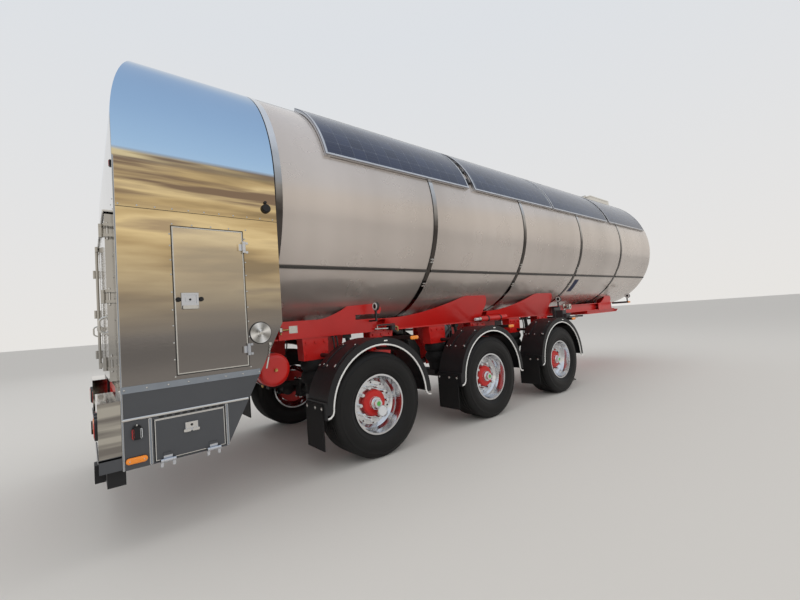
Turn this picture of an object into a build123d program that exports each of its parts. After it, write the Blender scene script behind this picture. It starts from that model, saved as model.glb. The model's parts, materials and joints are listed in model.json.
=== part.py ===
from build123d import *
import math
import os

# A three-axle tank semi-trailer with an equipment cabinet at its rear, standing uncoupled
# on its landing legs. Millimetres, +X forwards, +Y to the left, +Z up. The origin is on
# the ground under the middle of the vehicle's outline.

os.makedirs("parts", exist_ok=True)

# Vehicle
overall_length = 10500
rear_overhang = 2250          # rear face to rearmost axle
pitch_share = 181 / 1050      # of the overall length, from one axle to the next
axle_pitch = pitch_share * overall_length
axle_names = ["rear", "middle", "front"]
fit_gap = 0.3                 # between curved pieces that touch
running_gap = 6               # round every moving panel

rear_x = -overall_length / 2
front_x = overall_length / 2
rear_axle_x = rear_x + rear_overhang
axle_x = [rear_axle_x + n * axle_pitch for n in range(len(axle_names))]

# Wheels
tyre_radius = 524
tyre_width = 385
wheel_y = 1020                # middle plane of each wheel
bead_radius = 290
rim_lip_radius = 299
rim_width = 298
rim_wall = 14
disc_thickness = 24
centre_bore_radius = 141
hub_nose_length = 58
hub_cap_radius = 64
hub_cap_length = 66
brake_disc_radius = 215
brake_disc_width = 45
spindle_radius = 45
axle_radius = 63.5
wheel_z = tyre_radius

# Chassis
rail_y = 580
rail_width = 140
rail_height = 150
rail_bottom = 1235
rail_flange = 12
rail_web = 10
rail_top = rail_bottom + rail_height
rail_outer = rail_y + rail_width / 2
rail_inner = rail_y - rail_width / 2
saddle_plate = 14
sub_half = 50                 # half the width of the frame's sides under the cabinet

# Tank. Its underside hangs between the rails.
tank_radius = 1254
tank_sink = 50                # of its underside below the rails' top
head_depth = 250
head_knuckle = 150
band_thickness = 6
band_width = 60
rear_ring_width = 60
ring_overlap = 15             # of the rear ring onto the cylinder's end
strip_angle = -32.5           # of the side strip, from the tank's axis
strip_height = 30
strip_depth = 14
tank_bottom = rail_top - tank_sink
tank_z = tank_bottom + tank_radius
top_z = tank_z + tank_radius

# Cabinet. Its skin is flush with the bands round the tank.
half_width = tank_radius + band_thickness
bumper_reach = 140            # of the bumper's buffers behind the cabinet
cabinet_length = 1110
cabinet_gap = 10              # to the tank's rear ring
cabinet_wall = 40
skirt_bottom = 520
floor_top = 1055
floor_thickness = 45
floor_bottom = floor_top - floor_thickness
corner_z = 1407               # where the front edge starts to slant back
slant_run = 470
bulkhead_setback = 235
bulkhead_thickness = 20
locker_gap = 100              # between each tool locker and the frame beside it
locker_wall = 12
collar_wall = 12              # of the edge that reaches forward over the tank's head
roof_bend_z = 2820            # where the rear face starts to bend forwards
roof_bend_radius = 2000
cabinet_rear_x = rear_x + bumper_reach
cabinet_front_x = cabinet_rear_x + cabinet_length
skirt_front_x = cabinet_front_x - slant_run
bulkhead_x = cabinet_front_x - bulkhead_setback
bulkhead_rear_x = bulkhead_x - bulkhead_thickness
tank_rear_x = cabinet_front_x + cabinet_gap + rear_ring_width - ring_overlap
tank_front_x = front_x - head_depth

# Doors of the cabinet
side_door_width = 490
side_door_setback = 55        # of its front edge from the bulkhead
side_door_bottom = 1090
side_door_top = 2147
hatch_width = 440
hatch_setback = 20            # of its front edge from the skirt's
hatch_bottom = 535
hatch_top = 805
hatch_thickness = 25
rear_door_margin = 140        # from each door's outer edge to the cabinet's side
rear_door_bottom = 1090
rear_door_top = 2230
rear_door_thickness = 60
rear_door_proud = 45
side_door_front_x = bulkhead_x - side_door_setback
side_door_rear_x = side_door_front_x - side_door_width
hatch_front_x = skirt_front_x - hatch_setback
hatch_rear_x = hatch_front_x - hatch_width
rear_door_half_width = half_width - rear_door_margin

# Hinges
pin_radius = 7
knuckle_radius = 14
hinge_lift = 5                # of the knuckle off the face
strap_thickness = 9
pin_gap = 0.3
hinge_length = 90
hinge_reach = 45


def block(x0, x1, y0, y1, z0, z1):
    middle = ((x0 + x1) / 2, (y0 + y1) / 2, (z0 + z1) / 2)
    return Pos(*middle) * Box(abs(x1 - x0), abs(y1 - y0), abs(z1 - z0))


def rod_x(radius, x0, x1, y, z):
    return Pos((x0 + x1) / 2, y, z) * Rot(0, 90, 0) * Cylinder(radius, x1 - x0)


def rod_y(radius, x, y0, y1, z):
    return Pos(x, (y0 + y1) / 2, z) * Rot(90, 0, 0) * Cylinder(radius, y1 - y0)


def rod_z(radius, x, y, z0, z1):
    return Pos(x, y, (z0 + z1) / 2) * Cylinder(radius, z1 - z0)


def plate_along_x(outline, x0, x1):
    """A flat outline of (Y, Z) points, given its length along X."""
    face = make_face(Polyline(*[(y, z) for y, z in outline], close=True))
    return extrude(Plane.YZ.offset(x0) * face, amount=x1 - x0)


def face_along_y(face, y0, y1):
    """A flat face drawn in X and Z, given its width along Y."""
    side = Plane(origin=(0, y0, 0), x_dir=(1, 0, 0), z_dir=(0, -1, 0))
    return extrude(side * face, amount=-(y1 - y0))


def plate_along_y(outline, y0, y1):
    """A flat outline of (X, Z) points, given its width along Y."""
    return face_along_y(make_face(Polyline(*[(x, z) for x, z in outline], close=True)), y0, y1)


def rod_in_side_view(radius, start, end, y):
    """A slanting rod between two (X, Z) points."""
    along = Vector(end[0] - start[0], 0, end[1] - start[1])
    place = Plane(origin=(start[0], y, start[1]), z_dir=along)
    return extrude(place * Circle(radius), amount=along.length)


def tube_on_tank(outer, inner, x0, x1):
    """A ring round the tank's axis, standing outer and inner off the tank's skin."""
    ring = Circle(tank_radius + outer) - Circle(tank_radius + inner)
    return extrude(Plane.YZ.offset(x0) * Pos(0, tank_z) * ring, amount=x1 - x0)


def arc_on_tank(outer, inner, low_angle, high_angle, x0, x1):
    """A curved plate on the tank's left side, between two angles from its axis."""
    outside = tank_radius + outer
    inside = tank_radius + inner
    span = high_angle - low_angle
    face = make_face([
        CenterArc((0, 0), outside, low_angle, span),
        Line(polar_point(outside, high_angle), polar_point(inside, high_angle)),
        CenterArc((0, 0), inside, low_angle, span),
        Line(polar_point(inside, low_angle), polar_point(outside, low_angle)),
    ])
    return extrude(Plane.YZ.offset(x0) * Pos(0, tank_z) * face, amount=x1 - x0)


def polar_point(radius, angle):
    return (radius * math.cos(math.radians(angle)), radius * math.sin(math.radians(angle)))


def other_side(shape):
    return mirror(shape, about=Plane.XZ)


def both_sides(shapes):
    return shapes + [other_side(shape) for shape in shapes]


def spin_about_y(profile):
    """A profile of (radius, outward) corners and arcs, turned once round the Y axis."""
    return revolve(profile, axis=Axis.Y, revolution_arc=360)


def arched_outline(half, bottom):
    """A cross-section with upright sides under a round roof."""
    return make_face([
        Line((-half, bottom), (half, bottom)),
        Line((half, bottom), (half, tank_z)),
        ThreePointArc((half, tank_z), (0, tank_z + half), (-half, tank_z)),
        Line((-half, tank_z), (-half, bottom)),
    ])


def save(node, shapes):
    solids = [solid for shape in shapes for solid in shape.solids()]
    export_step(Compound(solids), "parts/" + node + ".step")


# Wheels. Each is drawn round the Y axis with its outer side towards +Y.
tread_half = tyre_width / 2 - 45
bead_half = rim_width / 2 - 3
bead_top = rim_lip_radius + 3
bulge_radius = (bead_radius + tyre_radius) / 2
shoulder_radius = tyre_radius - 20
shoulder_half = tyre_width / 2 - 22
tyre_profile = make_face([
    Line((bead_radius, -bead_half), (bead_radius, bead_half)),
    Line((bead_radius, bead_half), (bead_top, bead_half)),
    ThreePointArc((bead_top, bead_half), (bulge_radius, tyre_width / 2),
                  (shoulder_radius, shoulder_half)),
    Line((shoulder_radius, shoulder_half), (tyre_radius, tread_half)),
    Line((tyre_radius, tread_half), (tyre_radius, -tread_half)),
    Line((tyre_radius, -tread_half), (shoulder_radius, -shoulder_half)),
    ThreePointArc((shoulder_radius, -shoulder_half), (bulge_radius, -tyre_width / 2),
                  (bead_top, -bead_half)),
    Line((bead_top, -bead_half), (bead_radius, -bead_half)),
])
tyre = spin_about_y(tyre_profile)

barrel_radius = bead_radius - fit_gap
well_radius = barrel_radius - rim_wall
lip_half = rim_width / 2 + 9
disc_half = disc_thickness / 2
rim_profile = make_face(Polyline(
    (rim_lip_radius, lip_half),
    (rim_lip_radius, rim_width / 2),
    (barrel_radius, rim_width / 2 - 2),
    (barrel_radius, -rim_width / 2 + 2),
    (rim_lip_radius, -rim_width / 2),
    (rim_lip_radius, -lip_half),
    (well_radius + 6, -lip_half),
    (well_radius - 8, -lip_half / 2),
    (well_radius - 26, -disc_half - 30),
    (well_radius - 56, -disc_half),
    (centre_bore_radius, -disc_half),
    (centre_bore_radius, disc_half),
    (well_radius - 56, disc_half),
    (well_radius - 26, disc_half + 30),
    (well_radius - 8, lip_half / 2),
    (well_radius + 6, lip_half),
    close=True,
))
rim = spin_about_y(rim_profile)

# Ten studs hold each rim to its hub, with small vent holes between their long nut covers
stud_count = 10
stud_circle = 167.5
stud_radius = 11
nut_radius = 19
nut_length = 62
nut_bevel = 5
vent_circle = 205
vent_radius = 10
stud_step = 360 / stud_count
stud_places = [polar_point(stud_circle, n * stud_step) for n in range(stud_count)]
vent_places = [polar_point(vent_circle, (n + 0.5) * stud_step) for n in range(stud_count)]
for px, pz in stud_places:
    rim -= rod_y(stud_radius + fit_gap, px, -disc_half - 1, disc_half + 1, pz)
for px, pz in vent_places:
    rim -= rod_y(vent_radius, px, -disc_half - 1, disc_half + 1, pz)

flange_radius = centre_bore_radius + 34
flange_inner = -disc_half - 22
disc_inner = flange_inner - 40 - brake_disc_width
bell_radius = flange_radius - 25
spindle_end = disc_half + 36
bore_radius = spindle_radius + fit_gap
nose_end = disc_half + hub_nose_length
hub_profile = make_face(Polyline(
    (0, nose_end + hub_cap_length),
    (hub_cap_radius - 22, nose_end + hub_cap_length),
    (hub_cap_radius - 18, nose_end + hub_cap_length - 4),
    (hub_cap_radius - 18, nose_end + hub_cap_length / 2),
    (hub_cap_radius - 6, nose_end + hub_cap_length / 2),
    (hub_cap_radius, nose_end + hub_cap_length / 2 - 6),
    (hub_cap_radius, nose_end),
    (centre_bore_radius - 20, nose_end),
    (centre_bore_radius - 6, nose_end - 14),
    (centre_bore_radius - 6, -disc_half - fit_gap),
    (flange_radius, -disc_half - fit_gap),
    (flange_radius, flange_inner),
    (bell_radius, flange_inner),
    (bell_radius, disc_inner + brake_disc_width),
    (brake_disc_radius, disc_inner + brake_disc_width),
    (brake_disc_radius, disc_inner),
    (bore_radius, disc_inner),
    (bore_radius, spindle_end + 3),
    (0, spindle_end + 3),
    close=True,
))
hub = spin_about_y(hub_profile)
nut_profile = make_face(Polyline((0, -disc_half - 10), (stud_radius, -disc_half - 10), (stud_radius, disc_half),
                                 (nut_radius, disc_half), (nut_radius, disc_half + nut_length - nut_bevel),
                                 (nut_radius - nut_bevel, disc_half + nut_length), (0, disc_half + nut_length),
                                 close=True))
nut_cover = spin_about_y(nut_profile)
for px, pz in stud_places:
    hub += Pos(px, 0, pz) * nut_cover

for name, x in zip(axle_names, axle_x):
    for piece, shape in (("tyre", tyre), ("rim", rim), ("hub", hub)):
        left = Pos(x, wheel_y, wheel_z) * shape
        save(piece + "_" + name + "_left", [left])
        save(piece + "_" + name + "_right", [other_side(left)])

# Axles with their trailing arms. The arm lies on the beam, its eye in the hanger ahead.
arm_width = 100
arm_height = 60
arm_reach = 500
arm_bottom = wheel_z + axle_radius + 1
arm_mid = arm_bottom + arm_height / 2
eye_radius = 45
eye_pin_radius = 18
spring_offset = 400           # air spring behind its axle
spring_radius = 140
clamp_half = 92               # of the plates that clamp each arm to its axle
clamp_side = 78
clamp_plate = 14
clamp_rod_radius = 9
clamp_rod_x = 76
clamp_rod_y = 62
chamber_radius = 76           # brake chambers behind the axle
chamber_x = -165
shock_low_x = 150             # shock absorbers, from the arm up to the rail
shock_high_x = 30
shock_radius = 34
shock_rod_radius = 26
seat_bottom = wheel_z - axle_radius - 18
arm_top = arm_bottom + arm_height
axle_units = []
for x in axle_x:
    beam_end = wheel_y + disc_inner - 8
    beam = rod_y(axle_radius, x, -beam_end, beam_end, wheel_z)
    spindle = rod_y(spindle_radius, x, -wheel_y - spindle_end, wheel_y + spindle_end, wheel_z)
    unit = beam + spindle
    for side in (-1, 1):
        y = side * rail_y
        low = y - arm_width / 2
        high = y + arm_width / 2
        unit += block(x - 90, x + 90, low, high, seat_bottom, arm_bottom)
        unit += block(x - spring_offset - 90, x + arm_reach, low, high, arm_bottom, arm_top)
        for plate_low in (seat_bottom - clamp_plate, arm_top):
            unit += block(x - clamp_half, x + clamp_half, y - clamp_side, y + clamp_side,
                          plate_low, plate_low + clamp_plate)
        for rod_side_x in (-clamp_rod_x, clamp_rod_x):
            for rod_side_y in (-clamp_rod_y, clamp_rod_y):
                unit += rod_z(clamp_rod_radius, x + rod_side_x, y + rod_side_y,
                              seat_bottom - clamp_plate - 18, arm_top + clamp_plate + 24)
        chamber_ends = sorted((side * (wheel_y + disc_inner - 205), side * (wheel_y + disc_inner - 60)))
        bracket_ends = sorted((side * (wheel_y + disc_inner - 60), side * (wheel_y + disc_inner - 30)))
        unit += rod_y(chamber_radius, x + chamber_x, *chamber_ends, wheel_z)
        unit += block(x + chamber_x - 90, x, *bracket_ends, wheel_z - 70, wheel_z + 60)
        shock_low = (x + shock_low_x, arm_top - 5)
        shock_middle = (x + (shock_low_x + shock_high_x) / 2, (arm_top + rail_bottom) / 2)
        unit += rod_in_side_view(shock_radius, shock_low, shock_middle, y)
        unit += rod_in_side_view(shock_rod_radius, shock_low, (x + shock_high_x, rail_bottom - 30), y)
        unit += block(x + shock_high_x - 35, x + shock_high_x + 35, y - 35, y + 35, rail_bottom - 45, rail_bottom)
        unit += rod_y(eye_radius, x + arm_reach, low, high, arm_mid)
        unit -= rod_y(eye_pin_radius + fit_gap, x + arm_reach, low - 1, high + 1, arm_mid)
    axle_units.append(unit)
save("axle_beams", axle_units)

# Air springs: a folded bellows on a piston, between the arm and its bracket.
spring_top = 1000
spring_seat = arm_top
piston_height = 110
bellows_profile = make_face([
    Line((0, 0), (90, 0)),
    Line((90, 0), (105, piston_height)),
    ThreePointArc((105, piston_height), (spring_radius, piston_height + 60), (112, piston_height + 130)),
    ThreePointArc((112, piston_height + 130), (spring_radius, piston_height + 180),
                  (120, spring_top - spring_seat)),
    Line((120, spring_top - spring_seat), (0, spring_top - spring_seat)),
    Line((0, spring_top - spring_seat), (0, 0)),
])
bellows = revolve(Plane.XZ * bellows_profile, axis=Axis.Z, revolution_arc=360)
save("air_springs", both_sides([Pos(x - spring_offset, rail_y, spring_seat) * bellows for x in axle_x]))

# Chassis rails, cross members and the drop to the frame under the cabinet
kingpin_share = 31 / 210      # of the overall length, from the front of the tank
leg_share = 47 / 154          # of the way from the front axle to the kingpin
rail_beyond = 550             # past the kingpin
coupler_beyond = 630
coupler_behind = 750
kingpin_x = front_x - kingpin_share * overall_length
leg_x = axle_x[2] + leg_share * (kingpin_x - axle_x[2])
rail_rear_x = bulkhead_x
rail_front_x = kingpin_x + rail_beyond
coupler_rear_x = kingpin_x - coupler_behind
coupler_front_x = kingpin_x + coupler_beyond
rail = block(rail_rear_x, rail_front_x, rail_y - rail_width / 2, rail_y + rail_width / 2, rail_bottom, rail_top)
for side in (-1, 1):
    web_face = rail_y + side * rail_web / 2
    rail -= block(rail_rear_x - 1, rail_front_x + 1, web_face, rail_y + side * rail_width,
                  rail_bottom + rail_flange, rail_top - rail_flange)
save("frame_rails", both_sides([rail]))

cross_length = 80
cross_wall = 8
cross_gap = 8                 # under the tank
cross_bottom = rail_bottom + rail_flange
cross_top = tank_bottom - cross_gap
cross_x = [x + arm_reach for x in axle_x] + [x - spring_offset for x in axle_x]
cross_x += [leg_x + 300, coupler_rear_x + 40, coupler_front_x - 140]
cross_end = rail_y - rail_web / 2
save("crossmembers", [
    block(x - cross_length / 2, x + cross_length / 2, -cross_end, cross_end, cross_bottom, cross_top)
    - block(x - cross_length / 2 + cross_wall, x + cross_length, -cross_end - 1, cross_end + 1,
            cross_bottom + cross_wall, cross_top - cross_wall)
    for x in cross_x
])

# Hangers carry the arms' eyes; the brackets behind each axle stand on the air springs.
hanger_low = arm_mid - 60
stay_angle = 54
guard_radius = 647
guard_skin = 10
guard_lead = 25               # of each mudguard's centre in front of its axle
guard_z = wheel_z + 20         # centre of each mudguard's arch
stay_radius = 21
stay_path = guard_radius - guard_skin - stay_radius - fit_gap
stay_dx, stay_dz = polar_point(stay_path, stay_angle)
brackets = []
for x in axle_x:
    hanger = plate_along_y([
        (x + 300, rail_bottom), (x + 300, guard_z + stay_dz - 35), (x + 430, 830), (x + 430, hanger_low),
        (x + 570, hanger_low), (x + 570, 900), (x + 640, rail_bottom),
    ], rail_y - rail_width / 2, rail_y + rail_width / 2)
    slot_half = arm_width / 2 + 4
    hanger -= block(x + 200, x + 700, rail_y - slot_half, rail_y + slot_half, hanger_low - 1, rail_bottom - 15)
    hanger += rod_y(eye_pin_radius, x + arm_reach, rail_y - rail_width / 2, rail_y + rail_width / 2, arm_mid)
    hanger += block(x + 340, x + 400, rail_y - slot_half, rail_y + slot_half, 1120, rail_bottom)
    perch = plate_along_y([
        (x - 550, rail_bottom), (x - 540, spring_top), (x - 260, spring_top), (x - 250, rail_bottom),
    ], rail_y - rail_width / 2, rail_y + rail_width / 2)
    brackets += [hanger, perch]
save("suspension_brackets", both_sides(brackets))

# Saddles between the rails and the tank: a cradle plate across the vehicle, and along the
# rail a side plate that leans out from the rail's foot to the tank. Its upper edge rises
# from the rail in one long curve, runs along the tank at its crest and ends in a round nose.
# The rear saddle's side plate is upright at first and leans out from a slanting crease.
# x of the crest's middle, contact angle below the axis, lead before the rise, height of the
# lead's edge over the rail, length of the rise, half length of the crest, nose, slot in the
# nose, distance from the crest's middle back to the crease's foot
saddle_rows = [
    (axle_x[0] + 155, 56.3, 410, 35, 460, 85, 190, 345, 498),
    (axle_x[1] + 335, 51.9, 60, 0, 1490, 95, 130, 0, 0),
    (axle_x[2] + 360, 51.5, 40, 0, 1370, 130, 150, 0, 0),
    (kingpin_x + 150, 58.5, 40, 0, 360, 60, 120, 0, 0),
]
crease_slope = 0.767          # backwards for each unit up
plate_foot = 15               # height of the side plate's upright foot on the rail's flange
rise_shape = [(0.75, 0.10), (0.5, 0.36), (0.25, 0.74)]      # shares of the rise's length and height
tank_seat = rod_x(tank_radius + fit_gap, rear_x, front_x, 0, tank_z)
saddle_lip = 25               # of the crest's edge past its contact with the tank
saddle_inner = rail_inner - 60
slot_low = rail_top + 5
slot_height = 55


def leaning_y(lean, x, z):
    """y of a leaning plate's inner face. lean: its slopes along x and z, and x and z of its foot."""
    lean_x, lean_z, foot_x, foot_z = lean
    return rail_outer + lean_x * (x - foot_x) + lean_z * (z - foot_z)


def leaning_plate(lean, corners):
    """A side plate over four (x, z) corners."""
    inner_face = Face(Wire.make_polygon([(x, leaning_y(lean, x, z), z) for x, z in corners], close=True))
    return extrude(inner_face, amount=saddle_plate, dir=(0, 1, 0))


saddles = []
leans = []
for x, angle, lead, lead_edge, rise, crest_half, nose, slot, crease in saddle_rows:
    horn_y, horn_drop = polar_point(tank_radius, angle)
    horn_z = tank_z - horn_drop
    crest_z = horn_z + saddle_lip
    high_z = crest_z + saddle_lip
    rear_end = x - crest_half - rise - lead
    nose_end = x + crest_half + nose
    if crease:
        crease_low = x - crease
        crease_high = crease_low - crease_slope * (high_z - rail_bottom)
        lean_x = (horn_y - rail_outer) / (crease + crease_slope * (horn_z - rail_bottom))
        lean = (lean_x, lean_x * crease_slope, crease_low, rail_bottom)
        upright = [(rear_end, rail_bottom), (crease_low, rail_bottom), (crease_high, high_z), (rear_end, high_z)]
        leaning = [(crease_low, rail_bottom), (nose_end, rail_bottom), (nose_end, high_z), (crease_high, high_z)]
    else:
        fold_z = rail_bottom + plate_foot
        lean = (0, (horn_y - rail_outer) / (horn_z - fold_z), x, fold_z)
        upright = [(rear_end, rail_bottom), (nose_end, rail_bottom), (nose_end, fold_z), (rear_end, fold_z)]
        leaning = [(rear_end, fold_z), (nose_end, fold_z), (nose_end, high_z), (rear_end, high_z)]
    leans.append(lean)
    skirt = leaning_plate((0, 0, 0, 0), upright) + leaning_plate(lean, leaning)
    outside_y = leaning_y(lean, nose_end, high_z) + 2 * saddle_plate
    horn_x = x - crest_half
    horn_low_y = leaning_y(lean, horn_x, rail_top) + saddle_plate / 2
    horn_high_y = leaning_y(lean, horn_x, crest_z) + saddle_plate / 2
    horn = plate_along_x([
        (saddle_inner, rail_top), (horn_low_y, rail_top), (horn_high_y, crest_z), (saddle_inner, crest_z),
    ], horn_x - saddle_plate / 2, horn_x + saddle_plate / 2)
    low_z = rail_top + lead_edge
    rise_points = [(x - crest_half - length * rise, low_z + height * (crest_z - low_z))
                   for length, height in rise_shape]
    foot_x = x + crest_half + 0.4 * nose
    edge = make_face([
        Line((rear_end, rail_bottom), (rear_end, low_z)),
        Line((rear_end, low_z), (rear_end + lead, low_z)),
        Spline((rear_end + lead, low_z), *rise_points, (x - crest_half, crest_z), tangents=[(1, 0), (1, 0)]),
        Line((x - crest_half, crest_z), (x + crest_half, crest_z)),
        Spline((x + crest_half, crest_z), (nose_end, (crest_z + rail_top) / 2 + 20),
               (x + crest_half + 0.75 * nose, rail_top), tangents=[(1, 0), (-0.5, -1)]),
        Line((x + crest_half + 0.75 * nose, rail_top), (foot_x, rail_bottom)),
        Line((foot_x, rail_bottom), (rear_end, rail_bottom)),
    ])
    skirt &= face_along_y(edge, saddle_inner, outside_y)
    if slot:
        skirt -= block(nose_end - slot, nose_end + 1, rail_inner, outside_y, slot_low, slot_low + slot_height)
    saddles.append(horn + skirt - tank_seat)
save("saddles", both_sides(saddles))

# Coupler plate with its ribs, and the kingpin
coupler_bottom = 1165
coupler_plate = 10
coupler_half = rail_outer
kingpin_neck_radius = 25.4
kingpin_head_radius = 35.7
kingpin_collar_radius = 43.7
kingpin_flange_radius = 95
kingpin_flange = 12
kingpin_neck = 35
kingpin_head = 35
kingpin_collar = 14
kingpin_hole = kingpin_collar_radius + fit_gap
coupler = block(coupler_rear_x, coupler_front_x, -coupler_half, coupler_half,
                coupler_bottom, coupler_bottom + coupler_plate)
nose = plate_along_y([
    (coupler_front_x, coupler_bottom), (coupler_front_x + 90, coupler_bottom + 45),
    (coupler_front_x + 90, coupler_bottom + 57), (coupler_front_x, coupler_bottom + coupler_plate),
], -coupler_half, coupler_half)
coupler += nose
for y in (-rail_y, rail_y):
    coupler += block(coupler_rear_x, coupler_front_x, y - 30, y + 30, coupler_bottom + coupler_plate, rail_bottom)
for x in (coupler_rear_x + 40, kingpin_x - 160, kingpin_x + 160, coupler_front_x - 40):
    coupler += block(x - 15, x + 15, -rail_y, rail_y, coupler_bottom + coupler_plate, rail_bottom)
coupler_top = coupler_bottom + coupler_plate
coupler -= rod_z(kingpin_hole, kingpin_x, 0, coupler_bottom - 1, coupler_top + 1)
save("coupler_plate", [coupler])
collar_z = coupler_bottom - kingpin_collar
neck_z = collar_z - kingpin_neck
kingpin = rod_z(kingpin_flange_radius, kingpin_x, 0, coupler_top, coupler_top + kingpin_flange)
kingpin += rod_z(kingpin_collar_radius, kingpin_x, 0, collar_z, coupler_top)
kingpin += rod_z(kingpin_neck_radius, kingpin_x, 0, neck_z, collar_z)
kingpin += rod_z(kingpin_head_radius, kingpin_x, 0, neck_z - kingpin_head, neck_z)
save("kingpin", [kingpin])

# Landing legs: housings on the rails, a cross shaft with its gearbox, and sliding legs
leg_outer = 130
leg_wall = 8
leg_gap = 0.6
leg_y = 760
leg_bottom = 500
leg_top = 1300
leg_inner = leg_outer - 2 * leg_wall - 2 * leg_gap
leg_stroke = 400
leg_cap = 40                  # solid top of the housing
inner_top = leg_top - leg_cap - leg_stroke - 10
foot_height = 40
foot_size = 300
shaft_z = leg_top - 130
shaft_radius = 18
shaft_drop = 60               # of the cross shaft below the rails
bore_side = leg_outer - 2 * leg_wall
housing = block(leg_x - leg_outer / 2, leg_x + leg_outer / 2, leg_y - leg_outer / 2, leg_y + leg_outer / 2,
                leg_bottom, leg_top)
housing -= block(leg_x - bore_side / 2, leg_x + bore_side / 2, leg_y - bore_side / 2, leg_y + bore_side / 2,
                 leg_bottom - 1, leg_top - leg_cap)
housing += block(leg_x - 110, leg_x + 110, rail_outer, leg_y - leg_outer / 2, 900, rail_top - 10)
housing += block(leg_x - 45, leg_x + 45, leg_y + leg_outer / 2, leg_y + leg_outer / 2 + 60,
                 shaft_z - 60, shaft_z + 60)
brace = plate_along_y([
    (leg_x + leg_outer / 2, 640), (leg_x + leg_outer / 2, 700), (leg_x + 420, rail_bottom),
    (leg_x + 480, rail_bottom),
], leg_y - leg_outer / 2, leg_y - leg_outer / 2 + 10)
brace_foot = block(leg_x + 400, leg_x + 500, rail_inner + 10, leg_y - leg_outer / 2 + 10, rail_bottom - 12, rail_bottom)
housing += brace + brace_foot
shaft = rod_y(shaft_radius, leg_x, -(leg_y - leg_outer / 2), leg_y - leg_outer / 2, rail_bottom - shaft_drop)
gearbox_y = leg_y + leg_outer / 2 + 60
crank = rod_y(11, leg_x, -gearbox_y - 50, -gearbox_y, shaft_z)
crank += rod_x(11, leg_x - 11, leg_x + 260, -gearbox_y - 50, shaft_z)
crank += rod_y(15, leg_x + 260, -gearbox_y - 150, -gearbox_y - 40, shaft_z)
save("leg_housings", [housing + other_side(housing) + shaft + crank])
inner_leg = block(leg_x - leg_inner / 2, leg_x + leg_inner / 2, leg_y - leg_inner / 2, leg_y + leg_inner / 2,
                  foot_height, inner_top)
inner_leg -= block(leg_x - leg_inner / 2 + 10, leg_x + leg_inner / 2 - 10, leg_y - leg_inner / 2 + 10,
                   leg_y + leg_inner / 2 - 10, 200, inner_top + 1)
foot = plate_along_y([
    (leg_x - foot_size / 2, 12), (leg_x - foot_size / 2 + 20, 0), (leg_x + foot_size / 2 - 20, 0),
    (leg_x + foot_size / 2, 12), (leg_x + 80, foot_height), (leg_x - 80, foot_height),
], leg_y - foot_size / 3, leg_y + foot_size / 3)
leg_left = inner_leg + foot
save("leg_left", [leg_left])
save("leg_right", [other_side(leg_left)])

# Tank: a cylinder with dished heads, one turn round its axis
crown_radius = (head_depth ** 2 - head_knuckle ** 2 + (tank_radius - head_knuckle) ** 2) / (
    2 * (head_depth - head_knuckle))
crown_tilt = math.degrees(math.atan2(tank_radius - head_knuckle, crown_radius - head_depth))


def head_arcs(end_x, way):
    """Knuckle and crown of a dished head, from the shell's end to the axis."""
    knuckle = (end_x, tank_radius - head_knuckle)
    crown = (end_x + way * (head_depth - crown_radius), 0)

    def on(centre, radius, angle):
        across, up = polar_point(radius, angle)
        return (centre[0] + way * across, centre[1] + up)

    join = on(knuckle, head_knuckle, crown_tilt)
    return [
        ThreePointArc((end_x, tank_radius), on(knuckle, head_knuckle, (90 + crown_tilt) / 2), join),
        ThreePointArc(join, on(crown, crown_radius, crown_tilt / 2), (end_x + way * head_depth, 0)),
    ]


tank_outline = head_arcs(tank_front_x, 1) + head_arcs(tank_rear_x, -1) + [
    Line((tank_rear_x, tank_radius), (tank_front_x, tank_radius)),
    Line((tank_rear_x - head_depth, 0), (tank_front_x + head_depth, 0)),
]
tank = revolve(Plane.XZ * make_face(tank_outline), axis=Axis.X, revolution_arc=360)
save("tank_shell", [Pos(0, 0, tank_z) * tank])

# Bands over the shell's joints. x of the middle, width
band_distances = [1878, 3745, 5535, 7285]
band_rows = [(tank_rear_x + ring_overlap - rear_ring_width / 2, rear_ring_width)]
band_rows += [(tank_rear_x + distance, band_width) for distance in band_distances]
save("tank_bands", [tube_on_tank(band_thickness, fit_gap, x - width / 2, x + width / 2) for x, width in band_rows])

# Side strips, cut between the bands
strip_half_angle = math.degrees(strip_height / 2 / tank_radius)
band_edges = [(x - width / 2, x + width / 2) for x, width in band_rows]
strip_rows = [(before[1] + 1, after[0] - 1) for before, after in zip(band_edges, band_edges[1:])]
strip_rows.append((band_edges[-1][1] + 1, tank_front_x - 10))
strips = [arc_on_tank(strip_depth, fit_gap, strip_angle - strip_half_angle, strip_angle + strip_half_angle, x0, x1)
          for x0, x1 in strip_rows]
save("side_strips", both_sides(strips))

# Flexible solar panels on curved carriers along both flanks of the roof. Each row is one
# panel's rear and front distances from the tank's rear end.
panel_low = 18
panel_high = 61.5
carrier_height = 26
panel_thickness = 8
carrier_width = 40
edge_angle = math.degrees(carrier_width / tank_radius)
panel_rows = [(485, 2565), (2685, 4665), (4695, 6775), (6875, 8795)]
carriers = []
panels = []
for rear_distance, front_distance in panel_rows:
    x0 = tank_rear_x + rear_distance
    x1 = tank_rear_x + front_distance
    carrier_base = band_thickness + fit_gap
    carrier = arc_on_tank(carrier_height, carrier_base, panel_low, panel_high, x0, x1)
    carrier -= arc_on_tank(carrier_height + 1, 0, panel_low + edge_angle, panel_high - edge_angle,
                           x0 + carrier_width, x1 - carrier_width)
    pads = [arc_on_tank(carrier_base + 1, fit_gap, panel_low, panel_low + edge_angle, x, x + 60)
            for x in (x0, x1 - 60)]
    for pad in pads:
        carrier += pad
    carriers.append(carrier)
    panels.append(arc_on_tank(carrier_height + panel_thickness, carrier_height + fit_gap,
                              panel_low, panel_high, x0, x1))
save("solar_carriers", both_sides(carriers))
save("solar_panels", both_sides(panels))


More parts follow.
